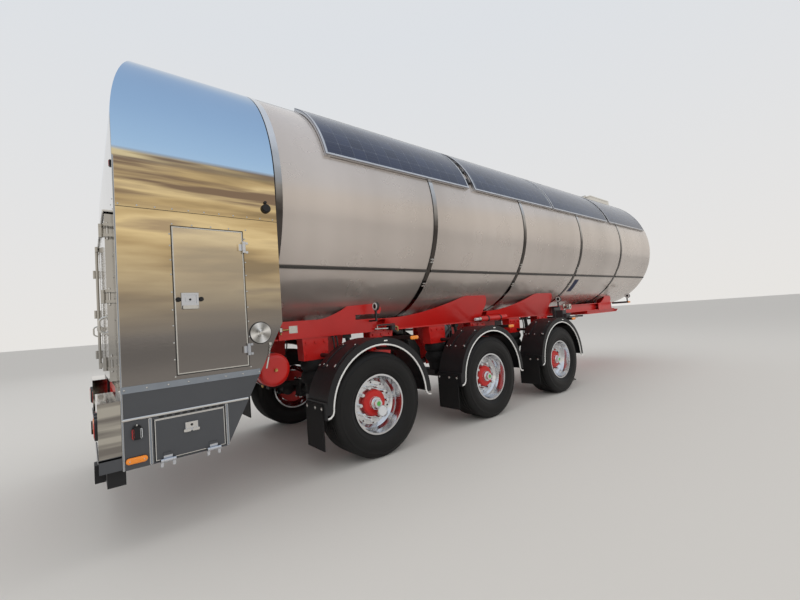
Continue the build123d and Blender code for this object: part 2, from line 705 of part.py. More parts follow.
def hinge(base, along, towards_frame, drop=0.0):
    """Fixed and moving halves of a hinge. Its pin lies along, and drop is how far the
    frame's face is below the panel's."""
    standoff = knuckle_radius + hinge_lift
    lug = 18
    low = -standoff - drop
    fixed = Cylinder(pin_radius, hinge_length)
    for end in (-1, 1):
        middle = end * (hinge_length - lug) / 2
        fixed += Pos(0, 0, middle) * Cylinder(knuckle_radius, lug)
        fixed += block(0, hinge_reach, low, -standoff + strap_thickness, middle - lug / 2, middle + lug / 2)
    moving_half = hinge_length / 2 - lug - 1
    moving = Cylinder(knuckle_radius, 2 * moving_half)
    moving += block(-hinge_reach, -6, -standoff, -standoff + strap_thickness, -moving_half, moving_half)
    moving -= Cylinder(pin_radius + pin_gap, 2 * moving_half + 2)
    place = Location(Plane(origin=base, x_dir=towards_frame, z_dir=along))
    return place * fixed, place * moving


hinge_standoff = knuckle_radius + hinge_lift

# Cabinet: flat sides running up into a round roof like the tank's, floor, bulkhead and
# tool lockers in the skirts. Drawn as one shell, left open for every door.


def behind_the_bend(setback):
    """All that lies behind the rear face where it bends forwards under the roof."""
    radius = roof_bend_radius - setback
    centre_x = cabinet_rear_x + roof_bend_radius
    low, middle, high = [
        (centre_x + across, roof_bend_z + up)
        for across, up in (polar_point(radius, 180), polar_point(radius, 157.5), polar_point(radius, 135))
    ]
    back_x = cabinet_rear_x - 1
    return face_along_y(make_face([
        Line((back_x, low[1]), low), ThreePointArc(low, middle, high), Line(high, (back_x, high[1])),
        Line((back_x, high[1]), (back_x, low[1])),
    ]), -half_width - 1, half_width + 1)


side_outline = arched_outline(half_width, skirt_bottom)
inner_half = half_width - cabinet_wall
collar_half = half_width - collar_wall
inner_outline = arched_outline(inner_half, floor_top)
collar_outline = arched_outline(collar_half, floor_top)
cabinet = extrude(Plane.YZ.offset(cabinet_rear_x) * side_outline, amount=cabinet_front_x - cabinet_rear_x)
room = extrude(Plane.YZ.offset(cabinet_rear_x + cabinet_wall) * inner_outline,
               amount=bulkhead_rear_x - cabinet_rear_x - cabinet_wall)
cabinet -= behind_the_bend(0)
cabinet -= room - behind_the_bend(cabinet_wall)
cabinet -= extrude(Plane.YZ.offset(bulkhead_x) * collar_outline, amount=cabinet_front_x - bulkhead_x)
locker_inner = rail_y + sub_half + locker_gap
cabinet -= block(cabinet_rear_x - 1, cabinet_front_x + 1, -locker_inner, locker_inner, skirt_bottom - 1, floor_bottom)
cabinet -= block(bulkhead_x, cabinet_front_x + 1, -collar_half, collar_half, skirt_bottom - 1, floor_top + 1)
for side in (-1, 1):
    inner = side * (locker_inner + locker_wall)
    outer = side * (half_width - locker_wall)
    cabinet -= block(cabinet_rear_x + locker_wall, skirt_front_x - locker_wall, min(inner, outer), max(inner, outer),
                     skirt_bottom + locker_wall, floor_bottom - locker_wall)
    skin = side * collar_half
    inside = side * locker_inner
    cabinet -= block(skirt_front_x, cabinet_front_x + 1, min(skin, inside - side), max(skin, inside - side),
                     skirt_bottom - 1, floor_bottom)
slope_cut = plate_along_y([
    (skirt_front_x, skirt_bottom - 1), (cabinet_front_x, corner_z), (cabinet_front_x + 1, corner_z),
    (cabinet_front_x + 1, skirt_bottom - 1),
], -half_width - 1, half_width + 1)
cabinet -= slope_cut
for side in (-1, 1):
    skin_in = side * (inner_half - 1)
    skin_out = side * (half_width + 1)
    cabinet -= block(side_door_rear_x - running_gap, side_door_front_x + running_gap, min(skin_in, skin_out),
                     max(skin_in, skin_out), side_door_bottom - running_gap, side_door_top + running_gap)
    hatch_in = side * (half_width - locker_wall - 1)
    cabinet -= block(hatch_rear_x - running_gap, hatch_front_x + running_gap, min(hatch_in, skin_out),
                     max(hatch_in, skin_out), hatch_bottom - running_gap, hatch_top + running_gap)
cabinet -= block(cabinet_rear_x - 1, cabinet_rear_x + cabinet_wall + 1, -rear_door_half_width - running_gap,
                 rear_door_half_width + running_gap, rear_door_bottom - running_gap, rear_door_top + running_gap)

# Side doors, hinged at their front edges
side_hinge_z = [side_door_bottom + 126, side_door_top - 127]
hinge_y = half_width + hinge_standoff
door_left = block(side_door_rear_x, side_door_front_x, inner_half, half_width, side_door_bottom, side_door_top)
lock_x = side_door_rear_x + 97
lock_z = (side_door_bottom + side_door_top) / 2
door_left += block(lock_x - 55, lock_x + 55, half_width, half_width + 18, lock_z - 45, lock_z + 45)
door_left -= block(lock_x - 42, lock_x + 42, half_width + 6, half_width + 19, lock_z - 32, lock_z + 32)
door_left += block(lock_x - 30, lock_x + 30, half_width + 5, half_width + 16, lock_z - 14, lock_z + 14)
side_hinge_x = side_door_front_x + running_gap / 2
for z in side_hinge_z:
    fixed, moving = hinge((side_hinge_x, hinge_y, z), (0, 0, 1), (1, 0, 0))
    cabinet += fixed + other_side(fixed)
    door_left += moving
save("side_door_left", [door_left])
save("side_door_right", [other_side(door_left)])

# Tool locker hatches, hinged along the bottom
hatch_hinge_x = [hatch_rear_x + 70, hatch_front_x - 83]
hatch_left = block(hatch_rear_x, hatch_front_x, half_width - hatch_thickness, half_width, hatch_bottom, hatch_top)
latch_x = (hatch_rear_x + hatch_front_x) / 2
latch_z = hatch_top - 82
hatch_left += block(latch_x - 40, latch_x + 40, half_width, half_width + 14, latch_z - 30, latch_z + 30)
hatch_left -= block(latch_x - 30, latch_x + 30, half_width + 5, half_width + 15, latch_z - 20, latch_z + 20)
hatch_hinge_z = hatch_bottom - running_gap / 2
for x in hatch_hinge_x:
    fixed, moving = hinge((x, hinge_y, hatch_hinge_z), (1, 0, 0), (0, 0, -1))
    cabinet += fixed + other_side(fixed)
    hatch_left += moving
save("tool_hatch_left", [hatch_left])
save("tool_hatch_right", [other_side(hatch_left)])

# Rear doors, two leaves hinged at their outer edges
rear_face_x = cabinet_rear_x - rear_door_proud
rear_hinge_x = rear_face_x - hinge_standoff
rear_hinge_y = rear_door_half_width + running_gap / 2
leaf_left = block(rear_face_x, rear_face_x + rear_door_thickness, running_gap / 2, rear_door_half_width,
                  rear_door_bottom, rear_door_top)
leaf_left -= block(rear_face_x + 14, rear_face_x + rear_door_thickness + 1, running_gap / 2 + 30,
                   rear_door_half_width - 30, rear_door_bottom + 30, rear_door_top - 30)
for z in (rear_door_bottom + 120, (rear_door_bottom + rear_door_top) / 2, rear_door_top - 120):
    fixed, moving = hinge((rear_hinge_x, rear_hinge_y, z), (0, 0, 1), (0, 1, 0), rear_door_proud)
    cabinet += fixed + other_side(fixed)
    leaf_left += moving
save("rear_door_left", [leaf_left])
handle_z = 1465
lock_bar = rod_z(11, rear_face_x - 22, -60, rear_door_bottom + 30, rear_door_top - 30)
for z in (rear_door_bottom + 60, handle_z, rear_door_top - 60):
    lock_bar += block(rear_face_x - 33, rear_face_x, -85, -35, z - 20, z + 20)
lock_bar += block(rear_face_x - 40, rear_face_x - 28, -240, -48, handle_z - 12, handle_z + 12)
save("rear_door_right", [other_side(leaf_left) + lock_bar])
save("cabinet_shell", [cabinet])

# Pump and manifold on the cabinet floor, seen when the doors are open
pump_x = (cabinet_rear_x + cabinet_front_x) / 2 - 45
pump = block(pump_x - 260, pump_x + 200, -300, 300, floor_top, floor_top + 70)
pump += rod_x(170, pump_x - 230, pump_x + 150, 0, floor_top + 260)
pump += block(pump_x - 120, pump_x + 60, -150, 150, floor_top + 60, floor_top + 200)
pump += rod_x(75, pump_x + 140, bulkhead_rear_x, 0, floor_top + 260)
pump += rod_z(75, pump_x - 40, 0, floor_top + 380, floor_top + 620)
pump += rod_y(75, pump_x - 40, -420, 420, floor_top + 620)
save("pump_unit", [pump])

# Round machined caps of the filling ports, one each side
port_radius = 82
port_x = cabinet_front_x - 188
port_z = corner_z - 70
port = rod_y(port_radius, port_x, half_width, half_width + 12, port_z)
port += rod_y(30, port_x, half_width + 10, half_width + 22, port_z)
save("port_caps", both_sides([port]))

# Frame under the cabinet, dropped from the rails, and the rear bumper it carries
sub_height = 120
sub_bottom = floor_bottom - sub_height
drop_front_x = bulkhead_x + 135
bumper_size = 100
bumper_top = skirt_bottom - 8
bumper_half = half_width - 80
subframe_side = block(cabinet_rear_x + 20, drop_front_x, rail_y - sub_half, rail_y + sub_half, sub_bottom, floor_bottom)
subframe_side += block(bulkhead_x, drop_front_x, rail_y - sub_half, rail_y + sub_half, sub_bottom, rail_bottom)
subframe_side += block(cabinet_rear_x + 20, cabinet_rear_x + 60, rail_y - sub_half, rail_y + sub_half,
                       bumper_top - bumper_size, sub_bottom)
subframe = subframe_side + other_side(subframe_side)
subframe += block(cabinet_rear_x + 20, cabinet_rear_x + 80, -rail_y, rail_y, sub_bottom + 10, floor_bottom)
save("rear_subframe", [subframe])
bumper = block(cabinet_rear_x - 80, cabinet_rear_x + 20, -bumper_half, bumper_half, bumper_top - bumper_size, bumper_top)
buffer_y = bumper_half - 280
buffers = [block(rear_x, cabinet_rear_x - 80, y - 60, y + 60, bumper_top - 110, bumper_top + 10)
           for y in (-buffer_y, buffer_y)]
save("rear_bumper", [bumper + buffers[0] + buffers[1]])

# Rear lamp housings with an end panel, and round tail lamps in them
lamp_box_rear_x = cabinet_rear_x - 120
lamp_box_low = 620
lamp_box_high = 970
lamp_box_width = 606
lamp_box_inner = half_width - 4 - lamp_box_width
lamp_box = block(lamp_box_rear_x, cabinet_rear_x, lamp_box_inner, half_width - 4, lamp_box_low, lamp_box_high)
lamp_box += block(lamp_box_rear_x, cabinet_rear_x, half_width - 16, half_width - 4, skirt_bottom + 10, lamp_box_high)
save("rear_lamp_boxes", both_sides([lamp_box]))
tail_lamp_radius = 62
tail_lamp_pitch = 145
tail_lamps = []
for n in range(3):
    y = half_width - 110 - n * tail_lamp_pitch
    tail_lamps.append(rod_x(tail_lamp_radius, rear_x + 4, lamp_box_rear_x, y, (lamp_box_low + lamp_box_high) / 2))
save("tail_lamps", both_sides(tail_lamps))

# Air reservoirs across the vehicle behind the rear axle, strapped under the rails
reservoir_radius = 155
reservoir_gap = 45            # to the frame behind it
reservoir_round = 45
reservoir_x = drop_front_x + reservoir_gap + reservoir_radius
reservoir_z = rail_bottom - 265
reservoir = rod_y(reservoir_radius, reservoir_x, 60, 790, reservoir_z)
reservoir = fillet(reservoir.edges().filter_by(GeomType.CIRCLE), reservoir_round)
save("air_reservoirs", both_sides([reservoir]))
strap_y = (220, 620)
straps = []
for y in strap_y:
    ring = rod_y(reservoir_radius + 8, reservoir_x, y - 20, y + 20, reservoir_z)
    ring -= rod_y(reservoir_radius + fit_gap, reservoir_x, y - 21, y + 21, reservoir_z)
    ring += block(reservoir_x - 20, reservoir_x + 20, y - 20, y + 20, reservoir_z + reservoir_radius + 5, rail_bottom)
    straps.append(ring)
carrier_bar = block(reservoir_x - 20, reservoir_x + 20, strap_y[0] - 20, rail_y - 50, rail_bottom - 20, rail_bottom)
straps_left = straps[0] + carrier_bar + block(
    reservoir_x - 20, reservoir_x + 20, rail_inner, rail_y, rail_bottom - 20, rail_bottom)
save("reservoir_straps", both_sides([straps_left, straps[1]]))

# Mudguards: an arched skin with a rolled outer lip and a flat rear panel, one per wheel
guard_margin = 12.5           # from the tyre's faces outwards to the mudguard's edges
guard_inner_y = wheel_y - tyre_width / 2 + guard_margin
guard_outer_y = wheel_y + tyre_width / 2 + guard_margin
guard_lip = 74
guard_x = [x + guard_lead for x in axle_x]
panel_bottom = 500
panel_top = 660
guards = []
flaps = []
stays = []
for x in guard_x:
    skin = rod_y(guard_radius, x, guard_inner_y, guard_outer_y, guard_z)
    skin -= rod_y(guard_radius - guard_skin, x, guard_inner_y - 1, guard_outer_y - guard_skin, guard_z)
    skin -= rod_y(guard_radius - guard_lip, x, guard_outer_y - 50, guard_outer_y + 1, guard_z)
    skin -= block(x - guard_radius - 1, x + guard_radius + 1, guard_inner_y - 1, guard_outer_y + 1,
                  guard_z - guard_radius - 1, guard_z)
    rear_panel = block(x - guard_radius - 8, x - guard_radius + 4, guard_inner_y, guard_outer_y, panel_bottom, panel_top)
    guards.append(skin + rear_panel)
    flaps.append(block(x - guard_radius - 20, x - guard_radius - 8, guard_inner_y, guard_outer_y - 55, 220, 640))
    for way in (-1, 1):
        stays.append(rod_y(stay_radius, x + way * stay_dx, rail_outer, guard_outer_y - 60, guard_z + stay_dz))
save("mudguards", both_sides(guards))
save("mud_flaps", both_sides(flaps))
save("mudguard_stays", both_sides(stays))

# Lamp arms out to the side lamps, and round lamps on stalks beside the tank
lamp_z = 1150
lamp_inset = 40               # of the side lamps' faces from the vehicle's side
lamp_y = half_width - lamp_inset
lamp_length = 120
arm_rows = [x + 500 for x in axle_x]
arms = [block(x - 20, x + 20, rail_outer, lamp_y - 25, lamp_z - 20, lamp_z + 20) for x in arm_rows]
front_arm_x = rail_front_x - 100
front_arm_y = 1020
front_arm = block(front_arm_x - 20, front_arm_x + 20, rail_outer, front_arm_y - 25, rail_top - 45, rail_top - 5)
arms.append(front_arm)
# x, y and z of each round lamp, and y of what its stalk stands on
rear_ring_x = axle_x[0] + 270
ring_rows = [
    (rear_ring_x, 850, 1525, leaning_y(leans[0], rear_ring_x, rail_top) + saddle_plate / 2),
    (leg_x - 170, 820, 1505, rail_outer),
    (front_arm_x + 60, 960, 1500, rail_outer),
]
ring_lamp_radius = 50
for x, y, z, base_y in ring_rows:
    stalk = block(x - 10, x + 10, base_y, y, rail_top - 30, rail_top - 10)
    stalk += block(x - 10, x + 10, y - 20, y, rail_top - 30, z)
    stalk += rod_x(ring_lamp_radius, x - 20, x + 10, y + 5, z)
    arms.append(stalk - saddles[0])
save("lamp_arms", both_sides(arms))
side_lamps = [block(x - lamp_length / 2, x + lamp_length / 2, lamp_y - 25, lamp_y, lamp_z - 22, lamp_z + 22)
              for x in arm_rows]
side_lamps.append(block(front_arm_x - lamp_length / 2, front_arm_x + lamp_length / 2, front_arm_y - 25,
                        front_arm_y, rail_top - 47, rail_top - 3))
skirt_lamp_x = cabinet_rear_x + 75
side_lamps.append(block(skirt_lamp_x - lamp_length / 2, skirt_lamp_x + lamp_length / 2, half_width,
                        half_width + 22, 554, 598))
save("side_lamps", both_sides(side_lamps))

# Roof: a walkway with two manhole necks, and a box with a lid over the front manhole
walkway_half = 340
walkway_z = top_z + 8
walkway_plate = 6
walkway_rail = 30
neck_radius = 230
neck_x = [tank_rear_x + 2645, tank_rear_x + 5945]
neck_top = walkway_z + 30
box_front_setback = 100
box_length = 1000
box_front_x = tank_front_x - box_front_setback
box_rear_x = box_front_x - box_length
walkway_ends = (tank_rear_x + 105, box_rear_x - 200)
walkway = block(walkway_ends[0], walkway_ends[1], -walkway_half, walkway_half, walkway_z, walkway_z + walkway_plate)
for y in (-walkway_half + walkway_rail / 2, walkway_half - walkway_rail / 2):
    walkway += block(walkway_ends[0], walkway_ends[1], y - walkway_rail / 2, y + walkway_rail / 2,
                     top_z - 60, walkway_z)
walkway -= rod_x(tank_radius + band_thickness + fit_gap, rear_x, front_x, 0, tank_z)
necks = []
for x in neck_x:
    walkway -= rod_z(neck_radius + 40, x, 0, top_z - 100, top_z + 100)
    neck = rod_z(neck_radius, x, 0, top_z - 40, neck_top)
    neck -= rod_z(neck_radius - 15, x, 0, top_z + 10, neck_top + 1)
    necks.append(neck - rod_x(tank_radius + fit_gap, rear_x, front_x, 0, tank_z))

box_half = 500
box_wall = 20
box_top = top_z + 25
manhole_box = block(box_rear_x, box_front_x, -box_half, box_half, top_z - 160, box_top)
manhole_box -= block(box_rear_x + box_wall, box_front_x - box_wall, -box_half + box_wall, box_half - box_wall,
                     top_z - 200, box_top + 1)
manhole_box -= rod_x(tank_radius + fit_gap, rear_x, front_x, 0, tank_z)
lid_thickness = 30
lid_gap = 5
box_lid = block(box_rear_x, box_front_x, -box_half, box_half, box_top + lid_gap, box_top + lid_gap + lid_thickness)
lid_skin = box_top + lid_gap + lid_thickness
for y in (-box_half + 150, box_half - 150):
    fixed, moving = hinge((box_rear_x - running_gap / 2, y, lid_skin + hinge_standoff), (0, 1, 0), (-1, 0, 0))
    riser = block(box_rear_x - hinge_reach, box_rear_x - running_gap, y - hinge_length / 2, y + hinge_length / 2,
                  top_z - 20, lid_skin + 2)
    foot_block = block(box_rear_x - running_gap - 1, box_rear_x + 1, y - hinge_length / 2, y + hinge_length / 2,
                       top_z - 20, box_top)
    manhole_box += fixed + riser + foot_block
    box_lid += moving
save("manhole_box", [manhole_box])
save("manhole_box_lid", [box_lid])
lid_radius = neck_radius + 20
for name, x in zip(("rear", "middle"), neck_x):
    lid = rod_z(lid_radius, x, 0, neck_top + lid_gap, neck_top + lid_gap + 18)
    lid_face = neck_top + lid_gap + 18
    lid += block(x - lid_radius - 40, x - lid_radius + 40, -40, 40, neck_top + lid_gap, lid_face)
    pivot_x = x - lid_radius - 40 - running_gap / 2
    fixed, moving = hinge((pivot_x, 0, lid_face + hinge_standoff), (0, 1, 0), (-1, 0, 0))
    lid += moving
    post = block(pivot_x - hinge_reach, pivot_x - running_gap / 2, -hinge_length / 2, hinge_length / 2,
                 walkway_z + walkway_plate - 2, lid_face + 2)
    walkway += fixed + post
    save("manhole_lid_" + name, [lid])
save("roof_walkway", [walkway] + necks)
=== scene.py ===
import json
import math

import bmesh
import bpy
from mathutils import Matrix, Vector


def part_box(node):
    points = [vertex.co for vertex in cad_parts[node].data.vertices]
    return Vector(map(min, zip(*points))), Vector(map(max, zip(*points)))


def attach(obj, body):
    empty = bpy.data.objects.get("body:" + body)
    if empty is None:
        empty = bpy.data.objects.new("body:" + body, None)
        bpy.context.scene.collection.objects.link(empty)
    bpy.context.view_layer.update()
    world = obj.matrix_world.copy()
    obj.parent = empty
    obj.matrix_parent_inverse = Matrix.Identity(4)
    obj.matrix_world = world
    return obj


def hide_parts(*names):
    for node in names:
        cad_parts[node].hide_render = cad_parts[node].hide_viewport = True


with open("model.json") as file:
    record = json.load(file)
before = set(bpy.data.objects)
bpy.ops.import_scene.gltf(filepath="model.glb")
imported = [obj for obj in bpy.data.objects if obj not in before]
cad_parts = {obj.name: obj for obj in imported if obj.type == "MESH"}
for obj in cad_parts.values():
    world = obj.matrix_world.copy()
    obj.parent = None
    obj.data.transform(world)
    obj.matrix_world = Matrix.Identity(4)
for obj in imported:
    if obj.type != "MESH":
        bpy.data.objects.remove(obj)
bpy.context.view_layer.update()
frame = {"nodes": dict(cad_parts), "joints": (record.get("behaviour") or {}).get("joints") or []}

nodes = frame["nodes"]

# The camera stands low beside the rear corner, on the vehicle's right, and is tilted a
# little. A phone's wide lens is 17 mm on a 36 mm wide picture.
camera_place = Vector((-5.276, -4.360, 1.372))
camera_heading = math.radians(39.62)
camera_rise = math.radians(2.70)
camera_roll = math.radians(-4.20)
camera = bpy.data.objects.new("camera", bpy.data.cameras.new("camera"))
bpy.context.scene.collection.objects.link(camera)
camera.data.sensor_width = 36
camera.data.lens = 17.22
camera.data.clip_end = 500
camera_turn = (Matrix.Rotation(-camera_heading, 4, "Z") @ Matrix.Rotation(math.pi / 2 + camera_rise, 4, "X")
               @ Matrix.Rotation(camera_roll, 4, "Z"))
camera.matrix_world = Matrix.Translation(camera_place) @ camera_turn
bpy.context.scene.camera = camera
bpy.context.scene.view_settings.view_transform = "Standard"

# Shader maths as sums: a Signal is one socket in a material's tree, a sum on it adds a Math
# node, and any other node comes from its method node.
class Signal:
    def __init__(self, socket):
        self.socket = socket
        self.tree = socket.id_data

    def node(self, kind, inputs=None, output=0, stops=None, **settings):
        made = self.tree.nodes.new(kind)
        for name, value in settings.items():
            setattr(made, name, value)
        if stops:
            ramp = made.color_ramp
            while len(ramp.elements) < len(stops):
                ramp.elements.new(0.5)
            for element, (place, colour) in zip(ramp.elements, stops):
                element.position = place
                element.color = (*colour, 1) if hasattr(colour, "__len__") else (colour,) * 3 + (1,)
        for name, value in (inputs or {}).items():
            if isinstance(value, Signal):
                self.tree.links.new(value.socket, made.inputs[name])
            else:
                made.inputs[name].default_value = value
        return Signal(made.outputs[output])

    def maths(self, operation, *others):
        return self.node("ShaderNodeMath", dict(enumerate((self, *others))), operation=operation)

    def __add__(self, other):
        return self.maths("ADD", other)

    def __sub__(self, other):
        return self.maths("SUBTRACT", other)

    def __rsub__(self, other):
        return self.node("ShaderNodeMath", {0: other, 1: self}, operation="SUBTRACT")

    def __mul__(self, other):
        return self.maths("MULTIPLY", other)

    def __truediv__(self, other):
        return self.maths("DIVIDE", other)

    def __gt__(self, other):
        return self.maths("GREATER_THAN", other)

    def __lt__(self, other):
        return self.maths("LESS_THAN", other)

    __radd__ = __add__
    __rmul__ = __mul__

    def into(self, shader, name):
        self.tree.links.new(self.socket, shader.inputs[name])

    def mix(self, first, second):
        """A colour that goes from first to second as this signal goes from 0 to 1."""
        colours = [(*c, 1) if hasattr(c, "__len__") else c for c in (first, second)]
        return self.node("ShaderNodeMix", {0: self, 6: colours[0], 7: colours[1]}, output=2,
                         data_type="RGBA", clamp_factor=True)

    def split(self):
        made = self.node("ShaderNodeSeparateXYZ", {0: self})
        return [Signal(socket) for socket in made.socket.node.outputs]

    def noise(self, scale, detail=2.0, stretch=None):
        where = self
        if stretch:
            where = self.node("ShaderNodeVectorMath", {0: self, 1: stretch}, operation="MULTIPLY")
        return self.node("ShaderNodeTexNoise", {"Vector": where, "Scale": scale, "Detail": detail})

    def bump(self, shader, depth, strength=1.0):
        made = self.node("ShaderNodeBump", {"Height": self, "Distance": depth, "Strength": strength})
        made.into(shader, "Normal")

    def clamped(self):
        return self.maths("MINIMUM", 1.0).maths("MAXIMUM", 0.0)

    def close_to(self, middle, reach):
        """1 within reach of middle, and 0 elsewhere."""
        return (self - middle).maths("ABSOLUTE") < reach


def start_finish(name, colour, roughness, metallic=0.0, coat=0.0, specular=0.5):
    """A new material, its shader and its place signal, in the object's own coordinates."""
    made = bpy.data.materials.new(name)
    made.use_nodes = True
    shader = made.node_tree.nodes["Principled BSDF"]
    shader.inputs["Base Color"].default_value = (*colour, 1)
    shader.inputs["Roughness"].default_value = roughness
    shader.inputs["Metallic"].default_value = metallic
    shader.inputs["Coat Weight"].default_value = coat
    shader.inputs["Specular IOR Level"].default_value = specular
    place = made.node_tree.nodes.new("ShaderNodeTexCoord").outputs["Object"]
    return made, shader, Signal(place)


# Studio: a plain pale floor, large soft lamps, and a world that gives polished metal
# something to show: pale blue overhead, and a warm glow low on the open side.
floor_half = 150.0
floor_finish = start_finish("studio_floor", (0.66, 0.65, 0.63), 0.90)[0]
floor_mesh = bpy.data.meshes.new("studio_floor")
floor_corners = [(x * floor_half, y * floor_half, 0) for x, y in ((-1, -1), (1, -1), (1, 1), (-1, 1))]
floor_mesh.from_pydata(floor_corners, [], [(0, 1, 2, 3)])
floor_mesh.materials.append(floor_finish)
studio_floor = bpy.data.objects.new("studio_floor", floor_mesh)
bpy.context.scene.collection.objects.link(studio_floor)

world = bpy.data.worlds.new("studio")
bpy.context.scene.world = world
world.use_nodes = True
sky = world.node_tree.nodes["Background"]
sky_way = Signal(world.node_tree.nodes.new("ShaderNodeTexCoord").outputs["Generated"])
sky_x, sky_y, sky_height = sky_way.split()
pale = sky_height.node("ShaderNodeValToRGB", {0: sky_height}, stops=[
    (0.0, (0.93, 0.91, 0.88)), (0.15, (0.91, 0.90, 0.89)), (0.60, (0.84, 0.87, 0.91)),
])
away = sky_x * 0.64 + sky_y * 0.77
blue_from, warm_to = 0.36, 0.375
blue_share = ((sky_height - blue_from) * 30.0).clamped() * ((0.60 - away) * 6.0).clamped()
blue = sky_height.node("ShaderNodeValToRGB", {0: sky_height}, stops=[
    (blue_from, (0.84, 0.88, 0.93)), (0.60, (0.76, 0.83, 0.92)), (0.92, (0.72, 0.79, 0.90)),
])
warm = sky_height.node("ShaderNodeValToRGB", {0: sky_height}, stops=[
    (0.0, (0.82, 0.79, 0.75)), (0.12, (0.89, 0.85, 0.79)), (0.22, (0.92, 0.88, 0.81)),
    (0.34, (0.86, 0.83, 0.78)),
])
open_side = (sky_y * -3.0).maths("MAXIMUM", sky_x * -8.0 - 1.0).clamped()
warm_share = open_side * ((warm_to - sky_height) * 25.0).clamped()
seen_sky = warm_share.mix(blue_share.mix(pale, blue), warm)
rays = world.node_tree.nodes.new("ShaderNodeLightPath").outputs
seen = Signal(rays["Is Camera Ray"]) + Signal(rays["Is Glossy Ray"]) + Signal(rays["Is Transmission Ray"])
seen.mix((0.84, 0.83, 0.82), seen_sky).into(sky, "Color")
sky.inputs["Strength"].default_value = 0.86

# name, place, point it is turned to, width, height, watts, colour
lamp_rows = [
    ("lamp_open_side", (-6.0, -15.0, 9.0), (-1.0, 0.0, 1.5), 18.0, 9.0, 430, (1.0, 0.97, 0.92)),
    ("lamp_overhead", (0.0, -1.0, 12.0), (0.0, 0.0, 2.0), 16.0, 8.0, 300, (1.0, 0.99, 0.97)),
    ("lamp_rear", (-15.0, 3.0, 6.0), (-4.0, 0.0, 1.8), 10.0, 7.0, 160, (0.95, 0.97, 1.0)),
    ("lamp_far_side", (2.0, 15.0, 8.0), (0.0, 0.0, 1.5), 14.0, 7.0, 200, (0.96, 0.98, 1.0)),
]
for name, place, aim, width, height, watts, colour in lamp_rows:
    lamp = bpy.data.lights.new(name, "AREA")
    lamp.shape = "RECTANGLE"
    lamp.size = width
    lamp.size_y = height
    lamp.energy = watts
    lamp.color = colour
    stand = bpy.data.objects.new(name, lamp)
    stand.location = place
    stand.rotation_euler = (Vector(aim) - Vector(place)).to_track_quat("-Z", "Y").to_euler()
    stand.visible_camera = False
    stand.visible_glossy = False
    bpy.context.scene.collection.objects.link(stand)


# Chassis: welded steel sections with a thick gloss red coat. The rails, cross members,
# saddles, coupler plate, spring hangers, air reservoirs and the frame under the cabinet
# share it.
red_paint, red_shader, red_place = start_finish("red_paint", (0.70, 0.016, 0.012), 0.34, coat=0.25)
red_place.noise(90, 3).bump(red_shader, 0.0006, 0.5)
road_film = red_place.noise(2.2, 5)
(0.24 + 0.16 * road_film).into(red_shader, "Roughness")
road_film.mix((0.74, 0.016, 0.012), (0.50, 0.011, 0.009)).into(red_shader, "Base Color")


def dress(made, *names):
    """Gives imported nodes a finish."""
    for name in names:
        for held in nodes[name].material_slots:
            held.material = made


dress(red_paint, "frame_rails", "crossmembers", "saddles", "coupler_plate", "suspension_brackets",
      "rear_subframe", "air_reservoirs")


# Running gear under the rails: round axle beams clamped to trailing arms, with brake
# chambers and shock absorbers, all in satin black that is dusty in places.
wheel_places = {joint["child"]: joint["pos_m"] for joint in frame["joints"] if "wheel" in joint["child"]}
axle_x = {axle: wheel_places["wheel_" + axle + "_left"][0] for axle in ("rear", "middle", "front")}
wheel_y, wheel_z = wheel_places["wheel_rear_left"][1:]
black_paint, black_shader, black_place = start_finish("black_paint", (0.016, 0.016, 0.018), 0.42, coat=0.2)
dust = black_place.noise(3.0, 6)
dust.mix((0.008, 0.008, 0.010), (0.024, 0.023, 0.022)).into(black_shader, "Base Color")
(0.34 + 0.30 * dust).into(black_shader, "Roughness")
black_place.noise(140, 2).bump(black_shader, 0.0004, 0.6)
dress(black_paint, "axle_beams", "mudguard_stays", "lamp_arms", "reservoir_straps")

bright_zinc, zinc_shader, zinc_place = start_finish("bright_zinc", (0.66, 0.65, 0.62), 0.24, 1.0)
zinc_place.noise(60, 3).mix((0.70, 0.69, 0.66), (0.54, 0.52, 0.48)).into(zinc_shader, "Base Color")

# Air springs and mud flaps: black rubber, matt and slightly dusty. The springs are rolled
# bellows between the arms and the rails, and the flaps are cut from sheet.
rubber, rubber_shader, rubber_place = start_finish("rubber", (0.020, 0.020, 0.021), 0.72, specular=0.25)
rubber_dust = rubber_place.noise(7.0, 5)
rubber_dust.mix((0.007, 0.007, 0.008), (0.017, 0.016, 0.016)).into(rubber_shader, "Base Color")
rubber_place.noise(260, 2).bump(rubber_shader, 0.0003, 0.6)
dress(rubber, "air_springs", "mud_flaps")


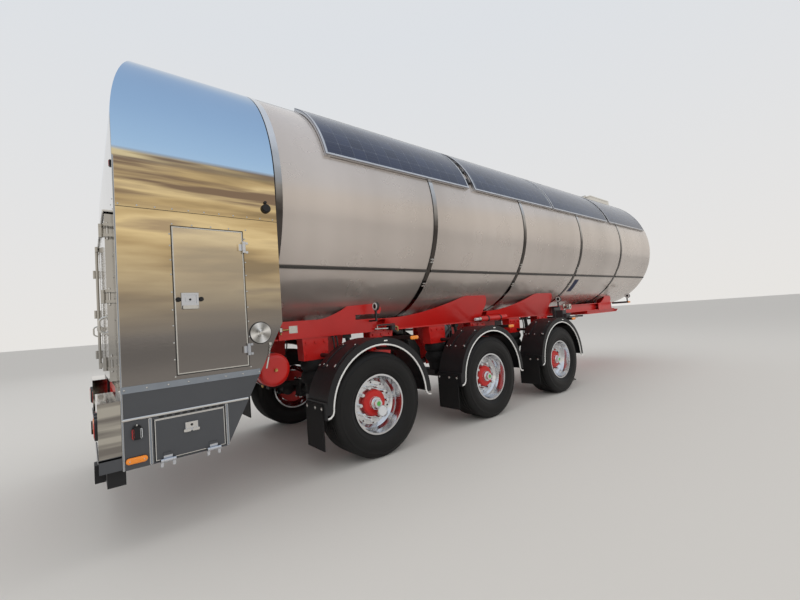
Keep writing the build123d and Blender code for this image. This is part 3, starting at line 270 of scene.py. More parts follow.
# Geometry Nodes make what repeats or follows a line. A tree is started with its named inputs
# and a short way to add a step, and is run once to leave a plain mesh.
def start_tree(name, *sockets):
    """A tree's inputs, a function that adds a node to it, and one that closes it."""
    tree = bpy.data.node_groups.new(name, "GeometryNodeTree")
    tree.is_modifier = True
    tree.interface.new_socket("Geometry", in_out="INPUT", socket_type="NodeSocketGeometry")
    for socket_name, kind in sockets:
        tree.interface.new_socket(socket_name, in_out="INPUT", socket_type=kind)
    tree.interface.new_socket("Geometry", in_out="OUTPUT", socket_type="NodeSocketGeometry")
    given = tree.nodes.new("NodeGroupInput").outputs

    def step(kind, links, **settings):
        made = tree.nodes.new(kind)
        for setting, value in settings.items():
            setattr(made, setting, value)
        for socket_name, source in links.items():
            if isinstance(source, bpy.types.NodeSocket):
                tree.links.new(source, made.inputs[socket_name])
            else:
                made.inputs[socket_name].default_value = source
        return made.outputs[0]

    def end(geometry, smooth=True):
        real = step("GeometryNodeRealizeInstances", {"Geometry": geometry})
        shaded = step("GeometryNodeSetShadeSmooth", {"Geometry": real, "Shade Smooth": smooth})
        coated = step("GeometryNodeSetMaterial", {"Geometry": shaded, "Material": given["Finish"]})
        tree.links.new(coated, tree.nodes.new("NodeGroupOutput").inputs["Geometry"])
        return tree

    return given, step, end


def run_tree(name, tree, base, values):
    """What a tree makes of a mesh, kept as a plain mesh."""
    holder = bpy.data.objects.new(name, base)
    bpy.context.scene.collection.objects.link(holder)
    step = holder.modifiers.new(name, "NODES")
    step.node_group = tree
    for item in tree.interface.items_tree:
        if item.item_type == "SOCKET" and item.in_out == "INPUT" and item.name in values:
            step[item.identifier] = values[item.name]
    made = bpy.data.meshes.new_from_object(holder.evaluated_get(bpy.context.evaluated_depsgraph_get()))
    holder.modifiers.remove(step)
    bpy.data.objects.remove(holder)
    return made


def fit_piece(name, mesh, body="trailer", replaced=()):
    """Puts a mesh in the scene as a piece of the vehicle."""
    made = bpy.data.objects.new(name, mesh)
    bpy.context.scene.collection.objects.link(made)
    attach(made, body)
    if replaced:
        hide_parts(*replaced)


# Screws and rivets: a head stands on every point of a mesh, turned to the way out of the
# sheet that the point is given. Rivets are domed, screws have six sides.
def head_tree(name, domed):
    """A tree that stands a head on every point of a mesh."""
    given, step, end = start_tree(name, ("Radius", "NodeSocketFloat"), ("Height", "NodeSocketFloat"),
                                  ("Finish", "NodeSocketMaterial"))
    if domed:
        head = step("GeometryNodeMeshUVSphere", {"Segments": 10, "Rings": 6, "Radius": given["Radius"]})
        share = step("ShaderNodeMath", {0: given["Height"], 1: given["Radius"]}, operation="DIVIDE")
        size = step("ShaderNodeCombineXYZ", {"X": 1.0, "Y": 1.0, "Z": share})
    else:
        head = step("GeometryNodeMeshCylinder",
                    {"Vertices": 6, "Radius": given["Radius"], "Depth": given["Height"]})
        size = step("ShaderNodeCombineXYZ", {"X": 1.0, "Y": 1.0, "Z": 1.0})
    aim = step("GeometryNodeInputNamedAttribute", {"Name": "aim"}, data_type="FLOAT_VECTOR")
    turn = step("FunctionNodeAlignRotationToVector", {"Vector": aim}, axis="Z")
    heads = step("GeometryNodeInstanceOnPoints",
                 {"Points": given["Geometry"], "Instance": head, "Rotation": turn, "Scale": size})
    return end(heads, domed)


rivet_tree = head_tree("rivet_heads", True)
screw_tree = head_tree("screw_heads", False)


def fasten(name, places, radius, height, finish, body="trailer", tree=rivet_tree):
    """Heads at (point, way out) places, as one piece."""
    base = bpy.data.meshes.new(name)
    base.from_pydata([point for point, way in places], [], [])
    ways = base.attributes.new("aim", "FLOAT_VECTOR", "POINT")
    for held, (point, way) in zip(ways.data, places):
        held.vector = way
    made = run_tree(name, tree, base, {"Radius": radius, "Height": height, "Finish": finish})
    fit_piece(name, made, body)


# Nuts: zinc plated, on the four clamp rods of every axle seat. They draw the seat's plates
# together over and under the beam.
seat_y = 0.58
clamp_nuts = [((x + along, y + across, z), (0, 0, 1)) for x in axle_x.values() for y in (-seat_y, seat_y)
              for along in (-0.076, 0.076) for across in (-0.062, 0.062) for z in (0.4275, 0.6640)]
fasten("clamp_nuts", clamp_nuts, 0.018, 0.014, bright_zinc, tree=screw_tree)


# Wheels: 385/65 R22.5 singles. Each tyre is one turn of a section with ribbed sidewalls and
# seven tread ribs parted by grooves, and the ribs are cut across by fine sipes.
tyre_grey = (0.016, 0.016, 0.017)
tyre_rubber, tyre_shader, tyre_place = start_finish("tyre_rubber", tyre_grey, 0.55, specular=0.25)
axle_pitch = axle_x["middle"] - axle_x["rear"]


def past_axle(along):
    """How far a place along the trailer lies in front of the nearest axle. Ten pitches are
    added, so that what is left after division is never negative."""
    shift = axle_pitch / 2 - axle_x["rear"] + 10 * axle_pitch
    return (along + shift).maths("MODULO", axle_pitch) - axle_pitch / 2


tyre_x, tyre_z = tyre_place.split()[::2]
along_axles = past_axle(tyre_x)
tyre_up = tyre_z - wheel_z
tyre_r = (along_axles * along_axles + tyre_up * tyre_up).maths("SQRT")
tyre_turn = tyre_up.maths("ARCTAN2", along_axles)
ring_rate, sipe_count, tread_from = 520, 144, 0.5215
sidewall_rings = (tyre_r * ring_rate).maths("SINE")
on_tread = tyre_r > tread_from
sipe_wave = (tyre_turn * sipe_count).maths("SINE")
sipes = on_tread * (sipe_wave > 0.93)
rubber_grain = tyre_place.noise(180, 3)
(sidewall_rings * 0.10 * (1.0 - on_tread) + rubber_grain * 0.35 - sipes * 4.0).bump(tyre_shader, 0.0009, 0.8)
tyre_dust = tyre_place.noise(4.0, 5)
tyre_wear = tyre_dust * 0.6 + on_tread * 0.35
tyre_wear.mix((0.0060, 0.0060, 0.0066), (0.022, 0.021, 0.020)).into(tyre_shader, "Base Color")
(0.40 + 0.24 * tyre_dust + 0.2 * on_tread).into(tyre_shader, "Roughness")


def add_skin(shape, rows, closed=True, capped=False):
    """Faces between rows of points. A closed skin joins each row's last point to its first, and
    a capped one has a face on its first and last rows."""
    made = []
    for low, high in zip(rows, rows[1:]):
        for n in range(len(low) if closed else len(low) - 1):
            after = (n + 1) % len(low)
            made.append(shape.faces.new(list(dict.fromkeys((low[n], low[after], high[after], high[n])))))
    if capped:
        made += [shape.faces.new(rows[0]), shape.faces.new(rows[-1])]
    return made


def fit_shape(name, shape, slot, *finishes, body="trailer", replaced=()):
    """A bmesh made into a piece: smooth faces, with its corners kept sharp."""
    shape.normal_update()
    for face in shape.faces:
        face.smooth = True
    for edge in shape.edges:
        if len(edge.link_faces) == 2 and edge.calc_face_angle(0) > math.radians(40):
            edge.smooth = False
    made = bpy.data.meshes.new(name)
    shape.to_mesh(made)
    shape.free()
    for finish in finishes:
        made.materials.append(finish)
    fit_piece(name, made, body, replaced)


# radius and half width of the outer half of the section, from the bead to the tread's middle
tyre_section = [
    (0.2905, 0.0), (0.2905, 0.143), (0.294, 0.1462), (0.3015, 0.1462), (0.304, 0.1500), (0.310, 0.1560),
    (0.320, 0.1640), (0.332, 0.1715), (0.345, 0.1780), (0.352, 0.1830), (0.357, 0.1835), (0.362, 0.1830),
    (0.372, 0.1872), (0.388, 0.1908), (0.407, 0.1920), (0.426, 0.1910), (0.446, 0.1880), (0.464, 0.1840),
    (0.467, 0.1850), (0.474, 0.1840), (0.477, 0.1795), (0.490, 0.1750), (0.502, 0.1690), (0.511, 0.1620),
    (0.5155, 0.1580), (0.5165, 0.1520), (0.5205, 0.1500), (0.5222, 0.1460), (0.5226, 0.1160),
    (0.5100, 0.1130), (0.5095, 0.1060), (0.5226, 0.1030), (0.5232, 0.0730), (0.5095, 0.0700),
    (0.5095, 0.0600), (0.5232, 0.0570), (0.5238, 0.0310), (0.5100, 0.0280), (0.5095, 0.0180),
    (0.5238, 0.0150), (0.5240, 0.0),
]
tyre_loop = tyre_section + [(r, -half) for r, half in tyre_section[-2:0:-1]]
tyre_steps = 120
both_sides = (("left", 1), ("right", -1))
for axle, x in axle_x.items():
    for side, way in both_sides:
        shape = bmesh.new()
        rings = []
        for n in range(tyre_steps):
            turn = 2 * math.pi * n / tyre_steps
            across, up = math.sin(turn), math.cos(turn)
            rings.append([shape.verts.new((x + r * across, way * (wheel_y + half), wheel_z + r * up))
                          for r, half in tyre_loop])
        add_skin(shape, rings + rings[:1])
        bmesh.ops.recalc_face_normals(shape, faces=shape.faces)
        wheel = axle + "_" + side
        fit_shape("tyre_tread_" + wheel, shape, "tyre_rubber", tyre_rubber, body="wheel_" + wheel,
                  replaced=("tyre_" + wheel,))

# Rims: one forging of polished aluminium each, with vent holes round the dish. Road dust
# dulls the polish in places.
rim_polish, rim_shader, rim_place = start_finish("rim_polish", (0.80, 0.81, 0.83), 0.10, 1.0)
rim_dust = rim_place.noise(14, 5)
rim_dust.mix((0.84, 0.85, 0.87), (0.62, 0.62, 0.63)).into(rim_shader, "Base Color")
(0.07 + 0.14 * rim_dust).into(rim_shader, "Roughness")
for axle in axle_x:
    dress(rim_polish, "rim_" + axle + "_left", "rim_" + axle + "_right")

# Hubs: red painted bell, long chromed nut covers on the studs, and a turned bright cap with
# a green button at its end.
hub_finish, hub_shader, hub_place = start_finish("hub_finish", (0.60, 0.022, 0.018), 0.34)
hub_x, hub_y, hub_z = hub_place.split()
hub_across = past_axle(hub_x)
hub_up = hub_z - wheel_z
hub_r = (hub_across * hub_across + hub_up * hub_up).maths("SQRT")
hub_out = hub_y.maths("ABSOLUTE") - wheel_y
nuts_from, cap_radius, button_radius, flange_out, cap_out = 0.142, 0.0655, 0.024, 0.0115, 0.068
chromed_faces = (hub_r > nuts_from) + (hub_r < cap_radius) * (hub_out > cap_out)
chromed = chromed_faces.maths("MINIMUM", 1.0) * (hub_out > flange_out)
button = (hub_r < button_radius) * (hub_out > cap_out)
bright = chromed - button
hub_wear = hub_place.noise(9, 4)
paint_colour = hub_wear.mix((0.68, 0.016, 0.013), (0.44, 0.012, 0.010))
chrome_colour = hub_wear.mix((0.82, 0.82, 0.83), (0.70, 0.70, 0.70))
cap_colour = button.mix(chrome_colour, (0.10, 0.46, 0.10))
chromed.mix(paint_colour, cap_colour).into(hub_shader, "Base Color")
bright.into(hub_shader, "Metallic")
(0.36 - 0.27 * bright + 0.05 * hub_wear).into(hub_shader, "Roughness")
for axle in axle_x:
    dress(hub_finish, "hub_" + axle + "_left", "hub_" + axle + "_right")

# A round counter in a bright case hangs by a tongue from the cap of the rearmost right
# wheel. Its white face is left blank.
white_plastic, white_shader, white_place = start_finish("white_plastic", (0.74, 0.76, 0.78), 0.35)
white_place.noise(20, 3).mix((0.76, 0.78, 0.80), (0.66, 0.68, 0.71)).into(white_shader, "Base Color")


def add_block(shape, low, high, bevel=0.002, finish=0):
    """A block between two corners, its edges rounded."""
    made = bmesh.ops.create_cube(shape, size=1.0)["verts"]
    for vert in made:
        vert.co = Vector([low[n] + (vert.co[n] + 0.5) * (high[n] - low[n]) for n in range(3)])
    edges = list({edge for vert in made for edge in vert.link_edges})
    faces = {face for vert in made for face in vert.link_faces}
    if bevel:
        faces |= set(bmesh.ops.bevel(shape, geom=edges, offset=bevel, segments=2, affect="EDGES")["faces"])
    for face in faces:
        if face.is_valid:
            face.material_index = finish


def add_ring(shape, turn, radius, out, sides):
    """A ring of points round the axis that turn gives, or one point where the radius is 0."""
    if radius == 0:
        return [shape.verts.new(turn @ Vector((0, 0, out)))] * sides
    angles = [2 * math.pi * n / sides for n in range(sides)]
    return [shape.verts.new(turn @ Vector((radius * math.cos(a), radius * math.sin(a), out))) for a in angles]


def add_rod(shape, start, end, radius, sides=20, bevel=0.0, finish=0):
    """A round bar from one point to another, with its end edges eased."""
    start, end = Vector(start), Vector(end)
    length = (end - start).length
    turn = Matrix.Translation(start) @ (end - start).to_track_quat("Z", "Y").to_matrix().to_4x4()
    steps = [(radius, 0), (radius, length)]
    if bevel:
        steps = [(radius - bevel, 0), (radius, bevel), (radius, length - bevel), (radius - bevel, length)]
    rings = [add_ring(shape, turn, step_radius, out, sides) for step_radius, out in steps]
    made = [shape.faces.new(rings[0][::-1]), shape.faces.new(rings[-1])] + add_skin(shape, rings)
    for face in made:
        face.material_index = finish


counter = bmesh.new()
counter_x, counter_z = axle_x["rear"] + 0.03, wheel_z - 0.075
for y0, y1, radius, bevel, finish in ((-1.150, -1.172, 0.056, 0.004, 0), (-1.171, -1.176, 0.050, 0.001, 1)):
    add_rod(counter, (counter_x, y0, counter_z), (counter_x, y1, counter_z), radius, 32, bevel, finish)
add_block(counter, (counter_x - 0.018, -1.158, counter_z + 0.03),
          (counter_x - 0.006, -1.152, wheel_z - 0.01), 0.001)
fit_shape("hub_counter", counter, "bright_steel", bright_zinc, white_plastic, body="wheel_rear_right")

# Landing legs: folded dark housings, and square inner legs that slide in them. Both have a
# thin coat, and the feet are scuffed.
leg_paint, leg_shader, leg_place = start_finish("leg_paint", (0.055, 0.056, 0.060), 0.45, coat=0.15)
leg_scuff = leg_place.noise(11, 6)
near_ground = 1.0 - (leg_place.split()[2] * 5.0).maths("MINIMUM", 1.0)
leg_worn = near_ground * 0.6 + (leg_scuff > 0.62) * 0.25
leg_worn.mix((0.050, 0.051, 0.055), (0.16, 0.145, 0.13)).into(leg_shader, "Base Color")
(0.40 + 0.25 * leg_scuff).into(leg_shader, "Roughness")
dress(leg_paint, "leg_housings", "leg_left", "leg_right")


# Small parts of the chassis: bolts through the hangers and spring brackets, nuts on the arms'
# pivots, a blank tag plate and a brass stub at the rail's end.
brass, brass_shader, brass_place = start_finish("brass", (0.62, 0.42, 0.16), 0.26, 1.0)
brass_place.noise(40, 3).mix((0.66, 0.45, 0.18), (0.46, 0.30, 0.12)).into(brass_shader, "Base Color")
rail_side = 0.650
# how far before or behind the axle, and height
bolt_rows = [(-0.505, 1.185), (-0.400, 1.185), (-0.295, 1.185), (-0.505, 1.060), (-0.295, 1.060),
             (0.350, 1.195), (0.470, 1.195), (0.590, 1.195), (0.365, 1.030)]
bracket_bolts = []
pivot_nuts = []
for x in axle_x.values():
    for way in (-1, 1):
        out = (0, way, 0)
        bracket_bolts += [((x + along, way * (rail_side + 0.006), z), out) for along, z in bolt_rows]
        pivot_nuts.append(((x + 0.500, way * (rail_side + 0.012), 0.6185), out))
fasten("bracket_bolts", bracket_bolts, 0.017, 0.014, red_paint, tree=screw_tree)
fasten("pivot_nuts", pivot_nuts, 0.030, 0.024, bright_zinc, tree=screw_tree)


def add_side_block(shape, way, x, y, z, bevel=0.002, finish=0):
    """A block from pairs of x, y and z, given as they are on the left side, where way is 1."""
    near, far = sorted((way * y[0], way * y[1]))
    add_block(shape, (x[0], near, z[0]), (x[1], far, z[1]), bevel, finish)


tag = bmesh.new()
for way in (-1, 1):
    add_side_block(tag, way, (-3.692, -3.602), (0.6635, 0.668), (1.298, 1.372), 0.0015, 0)
    add_side_block(tag, way, (-3.800, -3.768), (0.664, 0.690), (1.315, 1.362), 0.004, 1)
    add_rod(tag, (-3.770, way * 0.679, 1.336), (-3.700, way * 0.679, 1.336), 0.009, 16, bevel=0.002, finish=2)
    add_rod(tag, (-3.785, way * 0.679, 1.310), (-3.785, way * 0.679, 1.290), 0.011, 16, bevel=0.002, finish=2)
fit_shape("tag_plates", tag, "bright_steel", bright_zinc, black_paint, brass)
tag_rivets = [((x, way * 0.6685, z), (0, way, 0))
              for way in (-1, 1) for x in (-3.684, -3.610) for z in (1.306, 1.364)]
fasten("tag_rivets", tag_rivets, 0.0032, 0.0016, bright_zinc)

# Levelling valves: a cast black body on a bracket that is fixed to the rail, with a red
# lever back to the arm, a bright linkage and brass couplings.
valves = bmesh.new()
for way in (-1, 1):
    add_side_block(valves, way, (-2.470, -2.370), (0.6645, 0.700), (1.240, 1.300), 0.004, 0)
    add_side_block(valves, way, (-2.455, -2.385), (0.699, 0.752), (1.236, 1.306), 0.008, 0)
    add_side_block(valves, way, (-2.660, -2.400), (0.752, 0.762), (1.296, 1.320), 0.003, 1)
    # start, end, y, radius, sides, bevel, finish
    for (x0, z0), (x1, z1), y, radius, sides, bevel, finish in (
            ((-2.690, 1.268), (-2.500, 1.262), 0.740, 0.011, 18, 0.002, 2),
            ((-2.655, 1.315), (-2.655, 1.255), 0.747, 0.007, 12, 0.001, 2),
            ((-2.350, 1.272), (-2.385, 1.272), 0.724, 0.014, 6, 0.001, 3),
            ((-2.340, 1.276), (-2.340, 1.215), 0.724, 0.012, 6, 0.001, 3)):
        add_rod(valves, (x0, way * y, z0), (x1, way * y, z1), radius, sides, bevel, finish)
fit_shape("levelling_valves", valves, "black_paint", black_paint, red_paint, bright_zinc, brass)

# Air cylinders: a slim red tube lies in two clips along each rail, with its bare rod end
# towards the rear.
cylinder_z = 1.272
clip_section = [(0.0442, -0.014), (0.048, -0.014), (0.048, 0.014), (0.0442, 0.014), (0.0442, -0.014)]


def add_turned(shape, centre, way, profile, sides=32, finish=0):
    """A profile of (radius, outward) points turned round an axis that points along way. A
    profile that ends on its first point makes a ring."""
    turn = Matrix.Translation(centre) @ Vector(way).to_track_quat("Z", "Y").to_matrix().to_4x4()
    is_ring = profile[0] == profile[-1]
    rings = [add_ring(shape, turn, radius, out, sides) for radius, out in profile[:len(profile) - is_ring]]
    made = add_skin(shape, rings + rings[:1] * is_ring)
    bmesh.ops.recalc_face_normals(shape, faces=made)
    for face in made:
        face.material_index = finish


cylinders = bmesh.new()
for way in (-1, 1):
    y = way * 0.728
    # from, to, radius, sides, bevel, finish
    for x0, x1, radius, sides, bevel, finish in ((-0.760, -0.130, 0.044, 28, 0.006, 0),
                                                 (-0.800, -0.755, 0.036, 28, 0.003, 3),
                                                 (-0.880, -0.795, 0.022, 24, 0.004, 2)):
        add_rod(cylinders, (x0, y, cylinder_z), (x1, y, cylinder_z), radius, sides, bevel, finish)
    for x, clip_foot in ((-0.600, 0.6645), (-0.300, 0.651)):
        add_turned(cylinders, (x, y, cylinder_z), (1, 0, 0), clip_section, 28, 1)
        add_side_block(cylinders, way, (x - 0.014, x + 0.014), (clip_foot, 0.700), (1.258, 1.286), 0.002, 1)
fit_shape("air_cylinders", cylinders, "red_paint", red_paint, black_paint, white_plastic, bright_zinc)


# Tubes, bars and pipes: a round section carried along a line of points
given, step, end = start_tree("tube_on_line", ("Radius", "NodeSocketFloat"), ("Sides", "NodeSocketInt"),
                              ("Curved", "NodeSocketBool"), ("Finish", "NodeSocketMaterial"))
tube_line = step("GeometryNodeMeshToCurve", {"Mesh": given["Geometry"]})
tube_line = step("GeometryNodeCurveSplineType", {"Curve": tube_line, "Selection": given["Curved"]},
                 spline_type="CATMULL_ROM")
tube_line = step("GeometryNodeSetSplineResolution", {"Geometry": tube_line, "Resolution": 8})
tube_section = step("GeometryNodeCurvePrimitiveCircle",
                    {"Resolution": given["Sides"], "Radius": given["Radius"]})
tube = step("GeometryNodeCurveToMesh", {"Curve": tube_line, "Profile Curve": tube_section, "Fill Caps": True})
tube_tree = end(tube)


def tube_mesh(name, points, radius, finish, curved=False, sides=12):
    """A round tube that follows points."""
    line = bpy.data.meshes.new(name)
    line.from_pydata(points, [(n, n + 1) for n in range(len(points) - 1)], [])
    values = {"Radius": radius, "Sides": sides, "Curved": curved, "Finish": finish}
    made = run_tree(name, tube_tree, line, values)
    made.set_sharp_from_angle(angle=math.radians(50))
    return made


# Air pipes: black coated steel, a bent pair up from every brake chamber to its rail, and
# straight ones clipped along the inside of the rails.
pipe_black, pipe_shader, pipe_place = start_finish("pipe_black", (0.014, 0.014, 0.015), 0.40)
pipe_place.noise(30, 3).mix((0.010, 0.010, 0.011), (0.026, 0.026, 0.027)).into(pipe_shader, "Base Color")
for axle, x in axle_x.items():
    for side, way in both_sides:
        for n, shift in enumerate((-0.022, 0.022)):
            # before the axle, out from the middle, height
            path = [(x - back + shift, way * y, z) for back, y, z in (
                (0.165, 0.760, 0.598), (0.165, 0.740, 0.680), (0.150, 0.700, 0.800), (0.205, 0.685, 0.960),
                (0.180, 0.685, 1.100), (0.180, 0.670, 1.215), (0.180, 0.640, 1.232))]
            name = "brake_pipe_" + axle + "_" + side + "_" + str(n)
            fit_piece(name, tube_mesh(name, path, 0.0085, pipe_black, True, 10))
sags = [(-3.95, 0), (-2.0, 0.006), (0.5, 0), (2.6, 0.006), (4.15, 0)]
for side, way in both_sides:
    for n, (y, z, radius) in enumerate(((0.500, 1.300, 0.011), (0.470, 1.320, 0.009), (0.485, 1.275, 0.009))):
        path = [(x, way * y, z - dip) for x, dip in sags]
        name = "rail_line_" + side + "_" + str(n)
        fit_piece(name, tube_mesh(name, path, radius, pipe_black, True, 10))

# Air reservoirs: welded red tanks that hang in straps. Each has a brass drain valve under
# it, a plug in its end, weld rings, and bolts through its straps.
tanks = bmesh.new()
strap_bolts = []
reservoir_x, reservoir_z, reservoir_radius = -3.900, 0.970, 0.155
drain = [(0.0, 0.0), (0.009, 0.0), (0.009, 0.012), (0.004, 0.016), (0.0, 0.016)]
weld_foot, weld_top = reservoir_radius - 0.002, reservoir_radius + 0.0035
weld = [(weld_foot, -0.007), (weld_top, -0.003), (weld_top, 0.003), (weld_foot, 0.007), (weld_foot, -0.007)]
for way in (-1, 1):
    drain_top, drain_foot = [(reservoir_x, way * 0.42, reservoir_z - drop) for drop in (0.150, 0.185)]
    add_rod(tanks, drain_top, drain_foot, 0.014, 6, bevel=0.001, finish=1)
    add_turned(tanks, drain_foot, (0, 0, -1), drain, 16, 1)
    for y0, y1, radius, sides in ((0.785, 0.812, 0.017, 6), (0.810, 0.826, 0.010, 16)):
        plug_ends = [(reservoir_x, way * y, reservoir_z) for y in (y0, y1)]
        add_rod(tanks, *plug_ends, radius, sides, bevel=0.001, finish=1)
    for y in (0.105, 0.745):
        add_turned(tanks, (reservoir_x, way * y, reservoir_z), (0, 1, 0), weld, 48, 0)
    strap_bolts += [((reservoir_x - 0.0225, way * (y + shift), reservoir_z + 0.20), (-1, 0, 0))
                    for y in (0.22, 0.62) for shift in (-0.011, 0.011)]
fit_shape("reservoir_fittings", tanks, "red_paint", red_paint, brass)
fasten("strap_bolts", strap_bolts, 0.008, 0.006, bright_zinc, tree=screw_tree)

# A bright coupling stands out from each rail in front of the legs: a stub, a collar with two
# levers and a turned cap, for the air that empties the tank.
couplings = bmesh.new()
coupling_x, coupling_z = 1.900, 1.352
stub = [(0.0, 0.0), (0.058, 0.0), (0.058, 0.008), (0.030, 0.012), (0.030, 0.062), (0.0, 0.062)]
collar = [(0.0, 0.0), (0.044, 0.0), (0.050, 0.005), (0.050, 0.045), (0.046, 0.050), (0.052, 0.054),
          (0.052, 0.074), (0.040, 0.080), (0.018, 0.080), (0.016, 0.094), (0.0, 0.095)]
for way in (-1, 1):
    add_turned(couplings, (coupling_x, way * 0.6495, coupling_z), (0, way, 0), stub, 32, 0)
    add_turned(couplings, (coupling_x, way * 0.700, coupling_z), (0, way, 0), collar, 40, 0)
    for side in (-1, 1):
        add_rod(couplings, (coupling_x + side * 0.050, way * 0.740, coupling_z),
                (coupling_x + side * 0.066, way * 0.735, coupling_z), 0.008, 12, bevel=0.001)
        add_rod(couplings, (coupling_x + side * 0.064, way * 0.755, coupling_z + 0.012),
                (coupling_x + side * 0.070, way * 0.715, coupling_z - 0.060), 0.006, 10, bevel=0.001)
fit_shape("air_couplings", couplings, "bright_steel", bright_zinc)


# Tank: an insulated cylinder clad in rolled stainless sheet with a warm silver lacquer, its
# long seams hidden under the panels and its joints under polished bands.
tank_low, tank_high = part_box("tank_shell")
tank_z = (tank_low[2] + tank_high[2]) / 2
tank_radius = (tank_high[2] - tank_low[2]) / 2
tank_skin, tank_shader, tank_place = start_finish("tank_skin", (0.60, 0.535, 0.49), 0.28, 0.55, coat=0.4)
cloudy = tank_place.noise(0.9, 3)
# Painted reflection: upright lighter and darker streaks, mixed into the skin's random tone.
upright_reflection_streaks = tank_place.noise(0.8, 3, (1.6, 0.3, 0.25))
tone_and_reflection = cloudy * 0.5 + ((upright_reflection_streaks - 0.5) * 2.4 + 0.25)
tone_and_reflection.mix((0.66, 0.595, 0.55), (0.51, 0.455, 0.415)).into(tank_shader, "Base Color")
(0.20 + 0.12 * tank_place.noise(3.0, 4)).into(tank_shader, "Roughness")
tank_place.noise(1.6, 2, (0.6, 1.0, 1.0)).bump(tank_shader, 0.006, 0.35)
dress(tank_skin, "tank_shell")

# Polished stainless steel, bright and slightly wavy, for the roof's box and lids and for
# the cabinet's trim
polished_steel, steel_shader, steel_place = start_finish("polished_steel", (0.72, 0.71, 0.69), 0.06, 1.0)
steel_cloud = steel_place.noise(2.4, 3)
steel_cloud.mix((0.74, 0.73, 0.71), (0.62, 0.61, 0.59)).into(steel_shader, "Base Color")
(0.05 + 0.10 * steel_place.noise(6.0, 4)).into(steel_shader, "Roughness")
(steel_place.noise(1.3, 2) + 0.02 * steel_place.noise(300, 2, (1.0, 1.0, 0.1))).bump(steel_shader, 0.010, 0.4)

# Bands: the same polished steel, drawn tight round the tank over the joints of its sheet.
# Their colour is painted dark towards the ground, a painted reflection of the dark road.
band_steel, band_shader, band_place = start_finish("band_steel", (0.60, 0.59, 0.57), 0.07, 1.0)
band_height = band_place.split()[2]
# Painted reflection: dark low on each band, for the road below.
road_reflection = ((3.05 - band_height) * 1.6 + (band_place.noise(5.0, 3) - 0.5) * 0.5).clamped()
road_reflection.mix((0.78, 0.77, 0.76), (0.085, 0.075, 0.068)).into(band_shader, "Base Color")
(0.06 + 0.08 * band_place.noise(6.0, 4)).into(band_shader, "Roughness")
dress(band_steel, "tank_bands")

# Side strips: a dark extruded profile along each side of the tank, its middle pierced by
# a row of small holes.
strip_finish, strip_shader, strip_place = start_finish("strip_finish", (0.055, 0.050, 0.046), 0.45)
strip_x, strip_y, strip_z = strip_place.split()
hole_pitch = 0.028
strip_run = (strip_x + 20.0).maths("MODULO", hole_pitch) - hole_pitch / 2
strip_side = strip_y.maths("ABSOLUTE")
strip_radius, strip_low = 1.268, math.radians(32.5)
strip_across = (strip_z - tank_z).maths("ARCTAN2", strip_side) * strip_radius + strip_low * strip_radius
hole_radius = 0.0055
hole = strip_run * strip_run + strip_across * strip_across < hole_radius ** 2
hole.mix((0.060, 0.054, 0.050), (0.006, 0.006, 0.006)).into(strip_shader, "Base Color")
(hole * -1.0).bump(strip_shader, 0.003, 0.8)
dress(strip_finish, "side_strips")

# Solar panels: flexible sheets of dark blue cells under a clear film, 13 or 12 cells long
# and 6 round the flank, each cell crossed by four thin conductors, with a pale margin.
solar_film, solar_shader, solar_place = start_finish("solar_film", (0.020, 0.030, 0.075), 0.16, coat=0.1)
cell = 0.156
solar_radius = 1.288
panel_low_angle, panel_span = 18.0, 43.5
solar_x, solar_y, solar_z = solar_place.split()
solar_side = solar_y.maths("ABSOLUTE")
panel_low = math.radians(panel_low_angle) * solar_radius
round_flank = (solar_z - tank_z).maths("ARCTAN2", solar_side) * solar_radius - panel_low
# rear end, front end and cells of each panel
panel_rows = [(-3.460, -1.380, 13), (-1.260, 0.720, 12), (0.750, 2.830, 13), (2.930, 4.850, 12)]
panel_arc = math.radians(panel_span) * solar_radius
start = panel_rows[0][0] + (panel_rows[0][1] - panel_rows[0][0] - panel_rows[0][2] * cell) / 2
run = solar_x - start
before = start
for x0, x1, count in panel_rows[1:]:
    start = x0 + (x1 - x0 - count * cell) / 2
    run = run - (solar_x > (x0 - 0.01)) * (start - before)
    before = start
across_cells = run / cell
round_cells = (round_flank - (panel_arc - 6 * cell) / 2) / cell
gap_half = 0.012
cell_x = across_cells.maths("FRACT") - 0.5
cell_y = round_cells.maths("FRACT") - 0.5
edge_x = cell_x.maths("ABSOLUTE")
edge_y = cell_y.maths("ABSOLUTE")
in_cell = (edge_x < 0.5 - gap_half) * (edge_y < 0.5 - gap_half) * ((edge_x + edge_y) < 0.92)
in_field = (round_cells > 0) * (round_cells < 6) * (across_cells > 0)
long_count, short_count = 12.995, 11.995
short_panels = (solar_x > -1.30) * (solar_x < 0.735) + (solar_x > 2.88)
past_short_end = short_panels * (across_cells > short_count)
past_end = ((across_cells > long_count) + past_short_end).maths("MINIMUM", 1.0)
covered = in_cell * in_field * (1.0 - past_end)
bus = (cell_y * 4.0).maths("FRACT") - 0.5
bus_line = (bus.maths("ABSOLUTE") < 0.035) * covered
tile_count = {0: across_cells.maths("FLOOR"), 1: round_cells.maths("FLOOR"), 2: solar_y.maths("SIGN")}
tile = across_cells.node("ShaderNodeCombineXYZ", tile_count)
cell_tint = tile.node("ShaderNodeTexWhiteNoise", {"Vector": tile}, noise_dimensions="3D")
cell_colour = cell_tint.mix((0.010, 0.016, 0.044), (0.016, 0.026, 0.068))
sheet_colour = covered.mix((0.085, 0.10, 0.14), cell_colour)
bus_line.mix(sheet_colour, (0.040, 0.052, 0.090)).into(solar_shader, "Base Color")
(0.11 + 0.10 * solar_place.noise(5.0, 4)).into(solar_shader, "Roughness")
(covered * 0.4 + solar_place.noise(2.0, 2)).bump(solar_shader, 0.002, 0.5)
dress(solar_film, "solar_panels")

